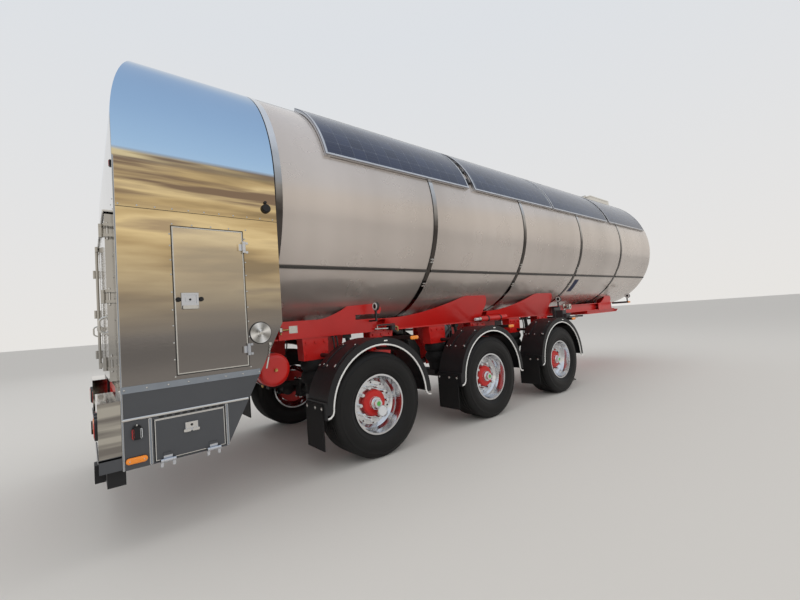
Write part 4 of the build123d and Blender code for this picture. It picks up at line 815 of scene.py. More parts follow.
# Carriers: plain rolled aluminium, laid on the tank under the solar panels. The strips that
# hold the panels' edges are of the same.
mill_aluminium, mill_shader, mill_place = start_finish("mill_aluminium", (0.66, 0.66, 0.67), 0.34, 1.0)
mill_cloud = mill_place.noise(5.0, 4)
mill_cloud.mix((0.70, 0.70, 0.71), (0.56, 0.56, 0.57)).into(mill_shader, "Base Color")
(0.28 + 0.18 * mill_cloud).into(mill_shader, "Roughness")
mill_place.noise(240, 2, (0.08, 1.0, 1.0)).bump(mill_shader, 0.0004, 0.5)
dress(mill_aluminium, "solar_carriers")


def on_tank(x, angle, lift, way=-1):
    """A point over the tank's skin: lift above it, angle up from the horizontal on one side."""
    turn = math.radians(angle)
    radius = tank_radius + lift
    return Vector((x, way * radius * math.cos(turn), tank_z + radius * math.sin(turn)))


def out_of_tank(angle, way=-1):
    """The way straight out of the tank's skin."""
    return Vector((0, way * math.cos(math.radians(angle)), math.sin(math.radians(angle))))


def add_tank_skin(shape, way, rows, closed=True, capped=False):
    """Faces between rows of (x, angle, lift) places over the tank's skin."""
    points = [[shape.verts.new(on_tank(x, angle, lift, way)) for x, angle, lift in row] for row in rows]
    add_skin(shape, points, closed, capped)


# Pale clamping strips along the panels' edges, held by rivets, and black junction boxes
# with their lids in the gaps between panels.
edge_strips = bmesh.new()
strip_rivets = []
end_width, rivet_pitch, arc_steps = 0.022, 0.13, 24
strip_foot, end_top, long_top = 0.034, 0.0375, 0.0385
for way in (-1, 1):
    for x0, x1, count in panel_rows:
        for angle in (18.45, 61.05):
            out = out_of_tank(angle, way)
            rivet_x = [x0 + 0.03 + n * rivet_pitch for n in range(int((x1 - x0) / rivet_pitch) + 1)]
            strip_rivets += [(on_tank(x, angle, end_top, way), out) for x in rivet_x if x < x1 - 0.02]
        for rear, front in ((x0, x0 + end_width), (x1 - end_width, x1)):
            corners = [(rear, strip_foot), (rear, end_top), (front, end_top), (front, strip_foot)]
            angles = [panel_low_angle + panel_span * n / arc_steps for n in range(arc_steps + 1)]
            rows = [[(x, angle, lift) for x, lift in corners] for angle in angles]
            add_tank_skin(edge_strips, way, rows, closed=False)
        for low_angle, high_angle in ((18.0, 18.9), (60.6, 61.5)):
            corners = [(low_angle, strip_foot), (low_angle, long_top), (high_angle, long_top),
                       (high_angle, strip_foot)]
            rows = [[(x, angle, lift) for angle, lift in corners] for x in (x0, x1)]
            add_tank_skin(edge_strips, way, rows, closed=False)
bmesh.ops.recalc_face_normals(edge_strips, faces=edge_strips.faces)
fit_shape("panel_edge_strips", edge_strips, "carrier_aluminium", mill_aluminium)
fasten("panel_rivets", strip_rivets, 0.007, 0.0035, mill_aluminium)

plastic_grey = (0.020, 0.020, 0.022)
black_plastic, plastic_shader, plastic_place = start_finish("black_plastic", plastic_grey, 0.42, specular=0.3)
plastic_place.noise(420, 2).bump(plastic_shader, 0.0003, 0.5)
plastic_place.noise(6, 5).mix((0.008, 0.008, 0.009), (0.020, 0.020, 0.022)).into(plastic_shader, "Base Color")
(0.36 + 0.16 * plastic_place.noise(9, 3)).into(plastic_shader, "Roughness")
dress(black_plastic, "mudguards", "rear_bumper")

boxes = bmesh.new()
for way in (-1, 1):
    for x in (-1.32, 2.88):
        for angle in (24.0, 33.0, 42.0, 51.0):
            box = bmesh.new()
            add_block(box, (x - 0.030, -0.045, 0.0), (x + 0.030, 0.045, 0.022), 0.004)
            add_block(box, (x - 0.024, -0.038, 0.021), (x + 0.024, 0.038, 0.027), 0.003)
            lean = Matrix.Rotation(way * math.radians(angle - 90), 4, "X")
            to_middle = Matrix.Translation((0, 0, tank_z))
            over_skin = Matrix.Translation((0, 0, tank_radius + 0.0005))
            bmesh.ops.transform(box, matrix=to_middle @ lean @ over_skin, verts=box.verts)
            box_mesh = bpy.data.meshes.new("box")
            box.to_mesh(box_mesh)
            box.free()
            boxes.from_mesh(box_mesh)
            bpy.data.meshes.remove(box_mesh)
fit_shape("junction_boxes", boxes, "black_plastic", black_plastic)


# A blank dark placard on each side of the tank, curved to its skin, and clamps with a bolt
# where the ends of every band meet low on the tank.
dark_blue = (0.016, 0.024, 0.070)
placard_blue, placard_shader, placard_place = start_finish("placard_blue", dark_blue, 0.50, specular=0.2)
placard_place.noise(9, 3).mix((0.014, 0.022, 0.066), (0.026, 0.036, 0.088)).into(placard_shader, "Base Color")
placards = bmesh.new()
placard_rear, placard_front, placard_low, placard_span = 1.710, 1.860, -49.0, 12.5
placard_section = [(placard_rear, 0.0003), (placard_rear + 0.002, 0.0025), (placard_front - 0.002, 0.0025),
                   (placard_front, 0.0003)]
for way in (-1, 1):
    angles = [placard_low + placard_span * n / 10 for n in range(11)]
    rows = [[(x, angle, lift) for x, lift in placard_section] for angle in angles]
    add_tank_skin(placards, way, rows, capped=True)
bmesh.ops.recalc_face_normals(placards, faces=placards.faces)
fit_shape("placards", placards, "dark_trim", placard_blue)

clamps = bmesh.new()
band_x = [-2.067, -0.200, 1.590, 3.340]
barrel_half = Vector((0.028, 0, 0))
for x in band_x:
    for way in (-1, 1):
        for angle in (-26.5, -41.0):
            out = out_of_tank(angle, way)
            round_tank = Vector((0, way * out.z, -way * out.y))
            middle = on_tank(x, angle, 0.0125, way)
            for shift in (-0.018, 0.018):
                barrel = middle + round_tank * shift
                add_rod(clamps, barrel - barrel_half, barrel + barrel_half, 0.0065, 10, bevel=0.001)
            screw_half = round_tank * 0.030
            add_rod(clamps, middle - screw_half, middle + screw_half, 0.0038, 10, bevel=0.0005)
fit_shape("band_clamps", clamps, "polished_steel", bright_zinc)

# Seals: a thin dark rubber line along the rear edge of every band, pressed between the band
# and the sheet.
seals = bmesh.new()
seal_low, seal_high, seal_half, band_half = 1.2542, 1.2585, 0.003, 0.030
seal_section = [(seal_low, -seal_half), (seal_high, -seal_half), (seal_high, seal_half),
                (seal_low, seal_half), (seal_low, -seal_half)]
for x in [-3.960] + band_x:
    add_turned(seals, (x - band_half - seal_half, 0, tank_z), (1, 0, 0), seal_section, 144)
fit_shape("band_seals", seals, "dark_trim", black_plastic)


# Roof: a walkway of pressed aluminium plank with a raised diamond grip, on two side rails.
# Dirt settles in it.
grip_plate, grip_shader, grip_place = start_finish("grip_plate", (0.60, 0.60, 0.61), 0.38, 1.0)
grip_x, grip_y = grip_place.split()[:2]
grip_u = (grip_x + grip_y) * 24.0
grip_v = (grip_x - grip_y) * 24.0
grip_a = (grip_u.maths("FRACT") - 0.5).maths("ABSOLUTE")
grip_b = (grip_v.maths("FRACT") - 0.5).maths("ABSOLUTE")
ribs = (grip_a < 0.10) * (grip_b < 0.36) + (grip_b < 0.10) * (grip_a < 0.36)
ribs.bump(grip_shader, 0.0016, 0.8)
grip_dirt = grip_place.noise(3.5, 6)
grip_dirt.mix((0.62, 0.62, 0.63), (0.36, 0.35, 0.33)).into(grip_shader, "Base Color")
(0.32 + 0.30 * grip_dirt).into(grip_shader, "Roughness")
dress(grip_plate, "roof_walkway")
dress(polished_steel, "manhole_box", "manhole_box_lid", "manhole_lid_rear", "manhole_lid_middle")

# Manholes: polished steel lids. Swing bolts with wing nuts clamp each one down, and a bar
# on two posts is its handle.
roof_top = tank_high[2]
flange_lift, flange_height, seal_height, lid_height = 0.008, 0.030, 0.005, 0.018
lid_face = roof_top + flange_lift + flange_height + seal_height + lid_height
clamp_count, clamp_circle = 6, 0.205
for name, x in (("rear", -1.3), ("middle", 2.0)):
    clamps = bmesh.new()
    for n in range(clamp_count):
        turn = 2 * math.pi * (n + 0.5) / clamp_count
        out = Vector((math.cos(turn), math.sin(turn), 0))
        foot = Vector((x, 0, lid_face)) + out * clamp_circle
        add_block(clamps, foot - Vector((0.016, 0.016, 0)), foot + Vector((0.016, 0.016, 0.008)), 0.002)
        add_rod(clamps, foot + Vector((0, 0, 0.006)), foot + Vector((0, 0, 0.022)), 0.006, 12, bevel=0.001)
        wing = Vector((-out.y, out.x, 0)) * 0.018
        wing_foot = foot + Vector((0, 0, 0.018))
        add_rod(clamps, wing_foot + wing, wing_foot - wing, 0.004, 10, bevel=0.001)
    for side in (-0.06, 0.06):
        add_rod(clamps, (x, side, lid_face), (x, side, lid_face + 0.020), 0.006, 12)
    add_rod(clamps, (x, -0.066, lid_face + 0.020), (x, 0.066, lid_face + 0.020), 0.006, 12, bevel=0.001)
    fit_shape("lid_clamps_" + name, clamps, "bright_steel", bright_zinc, body="manhole_lid_" + name)

# Manhole box: its lid is of polished sheet, with a pressed rim all round and two catches at
# its front edge.
box_lid_top = roof_top + 0.060
catches = bmesh.new()
for y in (-0.30, 0.30):
    for x0, x1, half, z0, z1 in ((4.896, 4.904, 0.025, -0.034, -0.004), (4.90, 4.908, 0.012, -0.046, -0.010)):
        add_block(catches, (x0, y - half, box_lid_top + z0), (x1, y + half, box_lid_top + z1), 0.002)
for x0, x1, y0, y1 in ((3.93, 4.87, -0.48, -0.455), (3.93, 4.87, 0.455, 0.48), (3.93, 3.955, -0.455, 0.455),
                       (4.845, 4.87, -0.455, 0.455)):
    add_block(catches, (x0, y0, box_lid_top - 0.001), (x1, y1, box_lid_top + 0.005), 0.002)
fit_shape("box_lid_fittings", catches, "polished_steel", polished_steel, body="manhole_box_lid")


# Cabinet: sides, doors and roof in mirror polished stainless sheet, with a slight wave in
# it and very fine brush marks. Reflections are painted into its colour: warm bands and dark
# streaks on the sides, a tan cast on the doors, cool sky on the roof, dark ground low on the
# flanks, streaks on the rear lamp boxes and a darker rear face. The skirts below the floor
# are painted dark grey.
cabinet_finish, cabinet_shader, cabinet_place = start_finish("cabinet_finish", (0.66, 0.63, 0.58), 0.12, 1.0)
cabinet_x, cabinet_y, cabinet_z = cabinet_place.split()
cabinet_side = cabinet_y.maths("ABSOLUTE")
rear_face, flank_end, lamp_foot, skirt_top, seam_z, roof_foot = -5.112, -5.1075, 0.622, 1.012, 2.24, 2.64
lamp_box = (cabinet_x < rear_face) * (cabinet_z > lamp_foot)
hatch_hinge = cabinet_x.close_to(-4.860, 0.045) + cabinet_x.close_to(-4.573, 0.045)
hatch_latch = cabinet_x.close_to(-4.710, 0.055) * cabinet_z.close_to(0.723, 0.040)
fitted = (hatch_hinge * (cabinet_z < 0.560) + hatch_latch) * (cabinet_side > 1.2605)
skirt = (cabinet_z < skirt_top) * (cabinet_x < -4.0) * (1.0 - lamp_box) * (1.0 - fitted.maths("MINIMUM", 1.0))
sheet_cloud = cabinet_place.noise(1.4, 3)
door_face = cabinet_x.close_to(-4.535, 0.240) * cabinet_z.close_to(1.6185, 0.523)
# Painted reflection: the flanks are darker towards the bottom, for the dark ground the mirror sheet shows.
ground_reflection_low = ((2.10 - cabinet_z) * 1.35).clamped()
# Painted reflection: warm light and dark bands along the flanks, in the sheet's colour.
reflection_bands = cabinet_place.noise(1.5, 4, (0.5, 0.5, 3.4))
warm_reflection = reflection_bands.node("ShaderNodeValToRGB", {0: reflection_bands}, stops=[
    (0.36, (0.38, 0.28, 0.15)), (0.46, (0.62, 0.46, 0.24)), (0.58, (0.86, 0.68, 0.38)),
    (0.68, (0.50, 0.38, 0.24)),
])
# Painted reflection: dark streaks on the sheet above the roof seam, also used on the rear lamp boxes.
reflection_streaks = cabinet_place.noise(3.4, 3, (0.30, 0.5, 4.6))
over_seam = ((cabinet_z - seam_z) * 7.0).clamped()
dark_reflection_mask = over_seam * ((reflection_streaks - 0.40) * 6.0).clamped()
warm_reflection = dark_reflection_mask.mix(warm_reflection, (0.27, 0.19, 0.13))
# Painted reflection: the roof is tinted sky blue, deeper towards its top.
roof_sheet = ((cabinet_z - roof_foot) * 30.0).clamped()
sky_reflection_rise = ((cabinet_z - roof_foot - 0.02) * 1.1).clamped()
cool_sky_reflection = sky_reflection_rise.mix((0.50, 0.68, 0.86), sheet_cloud.mix((0.33, 0.48, 0.68), (0.27, 0.42, 0.62)))
upper_sheet = roof_sheet.mix(warm_reflection, cool_sky_reflection)
# Painted reflection: the side doors are tinted tan gold.
door_sheet = (door_face * 0.45).mix(upper_sheet, (0.72, 0.64, 0.50))
flank_sheet = ground_reflection_low.mix(door_sheet, (0.235, 0.215, 0.20))
# Painted reflection: the rear face is darker than the flanks, for the dark surroundings its mirror sheet
# shows.
rear_sheet = sheet_cloud.mix((0.52, 0.50, 0.46), (0.40, 0.385, 0.36))
# Painted reflection: light and dark streaks on the rear lamp boxes.
lamp_box_reflection = ((reflection_streaks - 0.42) * 5.0).clamped().mix((0.52, 0.49, 0.43), (0.24, 0.22, 0.20))
rear_colour = (lamp_box * (cabinet_z < 1.0)).mix(rear_sheet, lamp_box_reflection)
sheet_colour = (cabinet_x > flank_end).mix(rear_colour, flank_sheet)
door_lock = cabinet_x.close_to(-4.683, 0.056) * cabinet_z.close_to(1.6165, 0.058)
hinge_heights = cabinet_z.close_to(1.216, 0.07) + cabinet_z.close_to(2.020, 0.07)
door_hinge = cabinet_x.close_to(-4.287, 0.035) * hinge_heights
chromed_part = ((door_lock + door_hinge) * (cabinet_side > 1.2610) + fitted).maths("MINIMUM", 1.0)
sheet_colour = chromed_part.mix(sheet_colour, (0.60, 0.62, 0.66))
skirt_colour = sheet_cloud.mix((0.060, 0.064, 0.072), (0.085, 0.090, 0.100))
skirt.mix(sheet_colour, skirt_colour).into(cabinet_shader, "Base Color")
(1.0 - skirt * 0.75).into(cabinet_shader, "Metallic")
brushed = cabinet_place.noise(700, 2, (0.02, 1.0, 1.0))
(0.02 + 0.04 * brushed + 0.26 * skirt + 0.10 * door_face).into(cabinet_shader, "Roughness")
(cabinet_place.noise(1.1, 2) + 0.01 * brushed).bump(cabinet_shader, 0.012, 0.45)
dress(cabinet_finish, "cabinet_shell", "side_door_left", "side_door_right", "tool_hatch_left",
      "tool_hatch_right", "rear_door_left", "rear_door_right", "rear_lamp_boxes")

# Pump unit: cast iron under thick grey paint, bolted to the floor of the cabinet. Use has
# made the paint cloudy.
pump_paint, pump_shader, pump_place = start_finish("pump_paint", (0.33, 0.35, 0.38), 0.42, coat=0.3)
pump_cloud = pump_place.noise(7, 5)
pump_cloud.mix((0.36, 0.38, 0.41), (0.24, 0.25, 0.27)).into(pump_shader, "Base Color")
(0.34 + 0.2 * pump_cloud).into(pump_shader, "Roughness")
pump_place.noise(90, 3).bump(pump_shader, 0.0006, 0.5)
dress(pump_paint, "pump_unit")

# Port caps: bright steel, screwed on over the filling ports. They are turned on a lathe,
# and the light that fans out over two wedges of them is a painted highlight, with painted shade between.
turned_steel, turned_shader, turned_place = start_finish("turned_steel", (0.68, 0.66, 0.63), 0.16, 1.0)
turned_x, turned_z = turned_place.split()[::2]
cap_x, cap_z = -4.188, 1.337
cap_across = turned_x - cap_x
cap_up = turned_z - cap_z
cap_r = (cap_across * cap_across + cap_up * cap_up).maths("SQRT")
(cap_r * 2600).maths("SINE").bump(turned_shader, 0.0004, 0.5)
# Painted highlight: two bright wedges and two dark ones round each cap.
wedge_turn = (cap_up.maths("ARCTAN2", cap_across) + 0.5) * 2.0
painted_wedge_light = wedge_turn.maths("SINE").maths("ABSOLUTE").maths("POWER", 2.5)
painted_wedge_light.mix((0.30, 0.29, 0.27), (0.84, 0.83, 0.81)).into(turned_shader, "Base Color")
(0.12 + 0.10 * turned_place.noise(30, 3)).into(turned_shader, "Roughness")
dress(turned_steel, "port_caps", "kingpin")

# Trim on the cabinet's flanks: a grey strip over the floor's edge, a bright half round
# moulding along the skirt, upright trims beside the hatch, and the lapped seam of the roof.
grey_strip, grey_shader, grey_place = start_finish("grey_strip", (0.26, 0.29, 0.33), 0.36, 0.35)
grey_place.noise(8, 3).mix((0.28, 0.31, 0.35), (0.21, 0.235, 0.27)).into(grey_shader, "Base Color")
dark_joint = start_finish("dark_joint", (0.015, 0.014, 0.013), 0.6)[0]
side_y = 1.260
cabinet_rear, cabinet_front, skirt_front = -5.110, -4.000, -4.470
skirt_low, corner_z = 0.520, 1.407


def slant_x(z):
    """The skirt's slanting front edge at a height."""
    return skirt_front + (cabinet_front - skirt_front) * (z - skirt_low) / (corner_z - skirt_low)


def add_frame(shape, way, x, y, z, width, bevel=0.0, finish=0):
    """Four flat bars round the inside of a rectangle on the cabinet's side."""
    inner = (x[0] + width, x[1] - width)
    for bar_x, bar_z in (((x[0], inner[0]), z), ((inner[1], x[1]), z),
                         (inner, (z[0], z[0] + width)), (inner, (z[1] - width, z[1]))):
        add_side_block(shape, way, bar_x, y, bar_z, bevel, finish)


moulding_z = 0.840
trim = bmesh.new()
for way in (-1, 1):
    # x, how far out y starts and ends, z, bevel, finish
    for x, y0, y1, z, bevel, finish in (
            ((cabinet_rear, slant_x(1.03) - 0.006), 0.0, 0.004, (1.010, 1.055), 0.0012, 0),
            ((cabinet_rear, cabinet_front), -0.001, 0.0015, (2.2550, 2.2585), 0.0, 2),
            ((-4.964, -4.946), 0.0, 0.007, (skirt_low + 0.002, 0.828), 0.003, 1),
            ((-4.480, -4.462), 0.0, 0.007, (skirt_low + 0.002, 0.828), 0.003, 1),
            ((cabinet_rear, cabinet_rear + 0.010), 0.0, 0.005, (skirt_low, 2.60), 0.002, 1)):
        add_side_block(trim, way, x, (side_y + y0, side_y + y1), z, bevel, finish)
    moulding_y = way * (side_y + 0.001)
    moulding_x = (cabinet_rear + 0.002, slant_x(moulding_z) - 0.008)
    moulding_ends = [(x, moulding_y, moulding_z) for x in moulding_x]
    add_rod(trim, *moulding_ends, 0.011, 16, bevel=0.003, finish=1)
fit_shape("flank_trim", trim, "polished_steel", grey_strip, polished_steel, dark_joint)


# Side doors: domed rivets hold the sheet round each door. A dark joint shows round it, a
# thin bright edge is folded on it, and black knobs sit beside its paddle lock.
cabinet_rivets = []
door_rear, door_front, door_low, door_high = -4.780, -4.290, 1.090, 2.147
hinge_z = (1.196, 2.006)
for way in (-1, 1):
    out = (0, way, 0)
    y = way * (side_y + 0.0005)
    for n in range(5):
        cabinet_rivets.append(((-4.776 + 0.1285 * n, y, door_high + 0.017), out))
    for z in (1.076, 1.196, 1.314, 1.434, 1.546, 1.672, 1.799, 1.903, 2.006, 2.090):
        cabinet_rivets.append(((door_rear - 0.014, y, z), out))
        if z not in hinge_z:
            cabinet_rivets.append(((door_front + 0.014, y, z), out))
    for n in range(8):
        cabinet_rivets.append(((-5.090 + 0.125 * n, way * (side_y + 0.0045), 1.0325), out))
    for n in range(11):
        cabinet_rivets.append(((-5.085 + 0.105 * n, y, 2.272), out))
fasten("cabinet_rivets", cabinet_rivets, 0.0065, 0.0034, bright_zinc)

joints = bmesh.new()
for way in (-1, 1):
    add_frame(joints, way, (door_rear - 0.007, door_front + 0.007), (side_y - 0.001, side_y + 0.0008),
              (door_low - 0.007, door_high + 0.007), 0.006)
fit_shape("door_joints", joints, "polished_steel", dark_joint)

lock_x, lock_z = -4.683, 1.6185
knob = [(0.0, 0.0), (0.017, 0.0), (0.017, 0.012), (0.013, 0.018), (0.0, 0.019)]
keyhole = [(0.0, 0.0), (0.008, 0.0), (0.008, 0.0015), (0.0065, 0.0025), (0.0, 0.0025)]
for side, way in both_sides:
    edging = bmesh.new()
    add_frame(edging, way, (-4.740, -4.624), (side_y + 0.0005, side_y + 0.006), (1.549, 1.668),
              0.006, 0.001, 1)
    add_frame(edging, way, (door_rear, door_front), (side_y - 0.0005, side_y + 0.0035), (door_low, door_high),
              0.008, 0.0008, 0)
    for shift in (-0.074, 0.074):
        add_turned(edging, (lock_x + shift, way * side_y, lock_z), (0, way, 0), knob, 24, 1)
    add_turned(edging, (lock_x, way * (side_y + 0.0155), lock_z - 0.002), (0, way, 0), keyhole, 20, 1)
    add_side_block(edging, way, (lock_x - 0.050, lock_x + 0.050), (side_y + 0.0175, side_y + 0.026),
                   (lock_z - 0.070, lock_z - 0.044), 0.004, 0)
    fit_shape("side_door_trim_" + side, edging, "polished_steel", bright_zinc, black_plastic,
              body="side_door_" + side)

# Vents: a row of dark slots, punched in the sheet over each hatch, and a bright line along
# the hatch's top
given, step, end = start_tree("bars_on_points", ("Size", "NodeSocketVector"),
                              ("Finish", "NodeSocketMaterial"))
bar = step("GeometryNodeMeshCube", {"Size": given["Size"]})
bar_tree = end(step("GeometryNodeInstanceOnPoints", {"Points": given["Geometry"], "Instance": bar}), False)


def add_bars(name, centres, size, finish):
    """The same small bar on every centre, as one piece."""
    base = bpy.data.meshes.new(name)
    base.from_pydata(centres, [], [])
    fit_piece(name, run_tree(name, bar_tree, base, {"Size": size, "Finish": finish}))


slots = [(-4.890 + 0.0475 * n, way * (side_y + 0.001), 0.822) for way in (-1, 1) for n in range(9)]
add_bars("vent_slots", slots, (0.030, 0.004, 0.010), dark_joint)
hatch_x = (-4.930, -4.490)
vents = bmesh.new()
for way in (-1, 1):
    add_side_block(vents, way, hatch_x, (side_y - 0.0005, side_y + 0.0035), (0.806, 0.8115), 0.001)
fit_shape("hatch_top_lines", vents, "polished_steel", polished_steel)

# Hatches: a bright folded edge all round, and a latch with a keyhole over two short tongues
# that hold it shut
keyhole = [(0.0, 0.0), (0.0085, 0.0), (0.0085, 0.002), (0.006, 0.0035), (0.0, 0.0035)]
for side, way in both_sides:
    hatch_trim = bmesh.new()
    add_frame(hatch_trim, way, hatch_x, (side_y - 0.0005, side_y + 0.0022), (0.535, 0.805), 0.005, 0.0006)
    add_side_block(hatch_trim, way, (-4.748, -4.672), (side_y + 0.0125, side_y + 0.017), (0.712, 0.752))
    for x in (-4.760, -4.706):
        add_side_block(hatch_trim, way, (x, x + 0.046), (side_y - 0.0005, side_y + 0.016), (0.686, 0.706),
                       0.003)
    add_turned(hatch_trim, (-4.710, way * (side_y + 0.0165), 0.732), (0, way, 0), keyhole, 20, 1)
    fit_shape("hatch_trim_" + side, hatch_trim, "polished_steel", polished_steel, black_plastic,
              body="tool_hatch_" + side)

# Port caps: a hexagon and a dark seal on each, and on a lug beside it a chain whose links
# stand upright, each turned a quarter from the last, down to a short handle.
given, step, end = start_tree("links_on_points", ("Wire", "NodeSocketFloat"),
                              ("Finish", "NodeSocketMaterial"))
link_line = step("GeometryNodeCurvePrimitiveCircle", {"Resolution": 14, "Radius": 0.0046})
link_line = step("GeometryNodeTransform", {"Geometry": link_line, "Scale": (1.6, 1.0, 1.0)})
link_wire = step("GeometryNodeCurvePrimitiveCircle", {"Resolution": 8, "Radius": given["Wire"]})
link = step("GeometryNodeCurveToMesh", {"Curve": link_line, "Profile Curve": link_wire})
link_aim = step("GeometryNodeInputNamedAttribute", {"Name": "aim"}, data_type="FLOAT_VECTOR")
link_turn = step("FunctionNodeAlignRotationToVector", {"Vector": link_aim}, axis="Z")
link_turn = step("FunctionNodeAlignRotationToVector", {"Rotation": link_turn, "Vector": (0.0, 0.0, 1.0)},
                 axis="X", pivot_axis="Z")
links_in_place = step("GeometryNodeInstanceOnPoints",
                      {"Points": given["Geometry"], "Instance": link, "Rotation": link_turn})
link_tree = end(links_in_place)
hexagon = [(0.0, 0.0), (0.017, 0.0), (0.017, 0.005), (0.013, 0.008), (0.0, 0.008)]
cap_seal = [(0.0825, 0.0), (0.089, 0.0), (0.089, 0.004), (0.0825, 0.006), (0.0825, 0.0)]
for side, way in both_sides:
    y = way * (side_y + 0.012)
    chain = bmesh.new()
    add_turned(chain, (cap_x, way * (side_y + 0.021), cap_z), (0, way, 0), hexagon, 6, 0)
    add_turned(chain, (cap_x, way * (side_y - 0.0003), cap_z), (0, way, 0), cap_seal, 64, 1)
    add_side_block(chain, way, (cap_x + 0.060, cap_x + 0.082), (side_y - 0.0005, side_y + 0.014),
                   (cap_z - 0.104, cap_z - 0.084), 0.002, 0)
    links = bpy.data.meshes.new("chain_links_" + side)
    links.from_pydata([(cap_x + 0.071 - 0.002 * n, y, cap_z - 0.108 - 0.0105 * n) for n in range(9)], [], [])
    ways = links.attributes.new("aim", "FLOAT_VECTOR", "POINT")
    for n, link_way in enumerate(ways.data):
        link_way.vector = (0, 1, 0) if n % 2 else (1, 0, 0)
    link_mesh = run_tree("chain_links_" + side, link_tree, links, {"Wire": 0.0015, "Finish": bright_zinc})
    fit_piece("chain_links_" + side, link_mesh)
    add_rod(chain, (cap_x + 0.053, y, cap_z - 0.198), (cap_x + 0.030, y, cap_z - 0.290), 0.0075, 14,
            bevel=0.002)
    fit_shape("cap_chain_" + side, chain, "bright_steel", bright_zinc, dark_joint)

# High lamps: a round black lamp of moulded plastic sits at the front edge of each flank, on
# a short bracket, with a small cap over it.
high_lamps = bmesh.new()
lamp_turn = [(0.0, 0.0), (0.034, 0.0), (0.037, 0.006), (0.037, 0.020), (0.029, 0.030), (0.0, 0.032)]
button_turn = [(0.0, 0.0), (0.011, 0.0), (0.013, 0.006), (0.011, 0.016), (0.0, 0.019)]
for way in (-1, 1):
    for x, z, profile, sides in ((-4.088, 2.360, lamp_turn, 28), (-4.090, 2.412, button_turn, 18)):
        add_turned(high_lamps, (x, way * (side_y - 0.001), z), (0, way, 0), profile, sides)
    for x, out, z, bevel in (((-4.116, -4.060), 0.026, (2.330, 2.352), 0.006),
                             ((-4.0945, -4.0855), 0.010, (2.392, 2.408), 0.001)):
        add_side_block(high_lamps, way, x, (side_y - 0.001, side_y + out), z, bevel)
fit_shape("high_lamps", high_lamps, "black_plastic", black_plastic)


# Mudguards: black moulded arches. A white half round edging is pressed on the lip of each,
# and its two feet turn out to the front and the rear.
white_edging, edging_shader, edging_place = start_finish("white_edging", (0.74, 0.74, 0.73), 0.38)
edging_place.noise(16, 4).mix((0.88, 0.88, 0.87), (0.74, 0.74, 0.72)).into(edging_shader, "Base Color")
guard_lead, guard_z = 0.025, 0.544
edge_radius = 0.576
foot_steps = [(0.064, -0.032), (0.036, -0.028), (0.010, -0.006), (0.0, 0.022)]
for axle, x in axle_x.items():
    for side, way in both_sides:
        middle = x + guard_lead
        y = way * 1.222
        path = [(middle - edge_radius - out, y, guard_z + up) for out, up in foot_steps]
        for turn in range(174, 4, -6):
            along, up = math.cos(math.radians(turn)), math.sin(math.radians(turn))
            path.append((middle + edge_radius * along, y, guard_z + edge_radius * up))
        path += [(2 * middle - px, py, pz) for px, py, pz in path[3::-1]]
        name = "guard_edging_" + axle + "_" + side
        fit_piece(name, tube_mesh(name, path, 0.0090, white_edging))

# Each mudguard hangs on two stays by wide black straps, and two rows of bright bolts hold
# its end panel and flap. The lip bears a blank white mark.
straps = bmesh.new()
marks = bmesh.new()
guard_bolts = []
guard_washers = []
strap_radius, strap_steps = 0.659, 10
strap_section = [(0.6465, -0.024), (0.655, -0.022), (strap_radius, 0.0), (0.655, 0.022), (0.6465, 0.024)]
for x in axle_x.values():
    middle = x + guard_lead
    for way in (-1, 1):
        for y in (0.940, 1.165):
            for low_turn, high_turn in ((112, 142), (46, 66)):
                rows = []
                for n in range(strap_steps + 1):
                    turn = math.radians(low_turn + (high_turn - low_turn) * n / strap_steps)
                    along, up = math.cos(turn), math.sin(turn)
                    rows.append([straps.verts.new((middle + r * along, way * y + across, guard_z + r * up))
                                 for r, across in strap_section])
                add_skin(straps, rows, closed=False, capped=True)
        add_side_block(marks, way, (x + 0.068, x + 0.113), (1.2245, 1.2268), (1.149, 1.161), 0.0006)
        for y in (0.906, 1.055, 1.199):
            guard_bolts.append(((x - 0.500, way * y, 0.972), (-0.74, 0, 0.67)))
        for y in (0.940, 1.165):
            for turn in (114, 139):
                out = Vector((math.cos(math.radians(turn)), 0, math.sin(math.radians(turn))))
                guard_bolts.append((Vector((middle, way * y, guard_z)) + strap_radius * out, out))
        for y in (0.870, 1.036, 1.160):
            guard_bolts.append(((middle - 0.668, way * y, 0.600), (-1, 0, 0)))
            guard_washers.append(((middle - 0.6675, way * y, 0.600), (-1, 0, 0)))
bmesh.ops.recalc_face_normals(straps, faces=straps.faces)
fit_shape("guard_straps", straps, "black_plastic", black_plastic)
fit_shape("guard_marks", marks, "carrier_aluminium", white_edging)
fasten("guard_bolts", guard_bolts, 0.011, 0.008, bright_zinc)
fasten("guard_washers", guard_washers, 0.017, 0.0015, bright_zinc)


# Rear end: a bright loop handle on each door, a drip rail over them, a seal between them and
# hinge pins; bumper bolts and the ribbed faces of its rubber buffers.
handle_x, handle_z, handle_half, handle_depth = -5.153, 1.469, 0.056, 0.046
handle_foot = [(0.0, 0.0), (0.018, 0.0), (0.018, 0.004), (0.010, 0.007), (0.0, 0.008)]
for side, way in both_sides:
    handles = bmesh.new()
    handle_y = way * 1.085
    loop = []
    for n in range(13):
        turn = math.radians(90 + 15 * n)
        reach = handle_depth * min(1.0, 1.25 * abs(math.cos(turn)))
        loop.append((handle_x - reach, handle_y, handle_z + handle_half * math.sin(turn)))
    held = tube_mesh("handle", loop, 0.0075, bright_zinc)
    handles.from_mesh(held)
    bpy.data.meshes.remove(held)
    for z in (handle_z - handle_half, handle_z + handle_half):
        add_turned(handles, (handle_x - 0.0015, handle_y, z), (-1, 0, 0), handle_foot, 20)
    fit_shape("rear_handle_" + side, handles, "bright_steel", bright_zinc, body="rear_door_" + side)

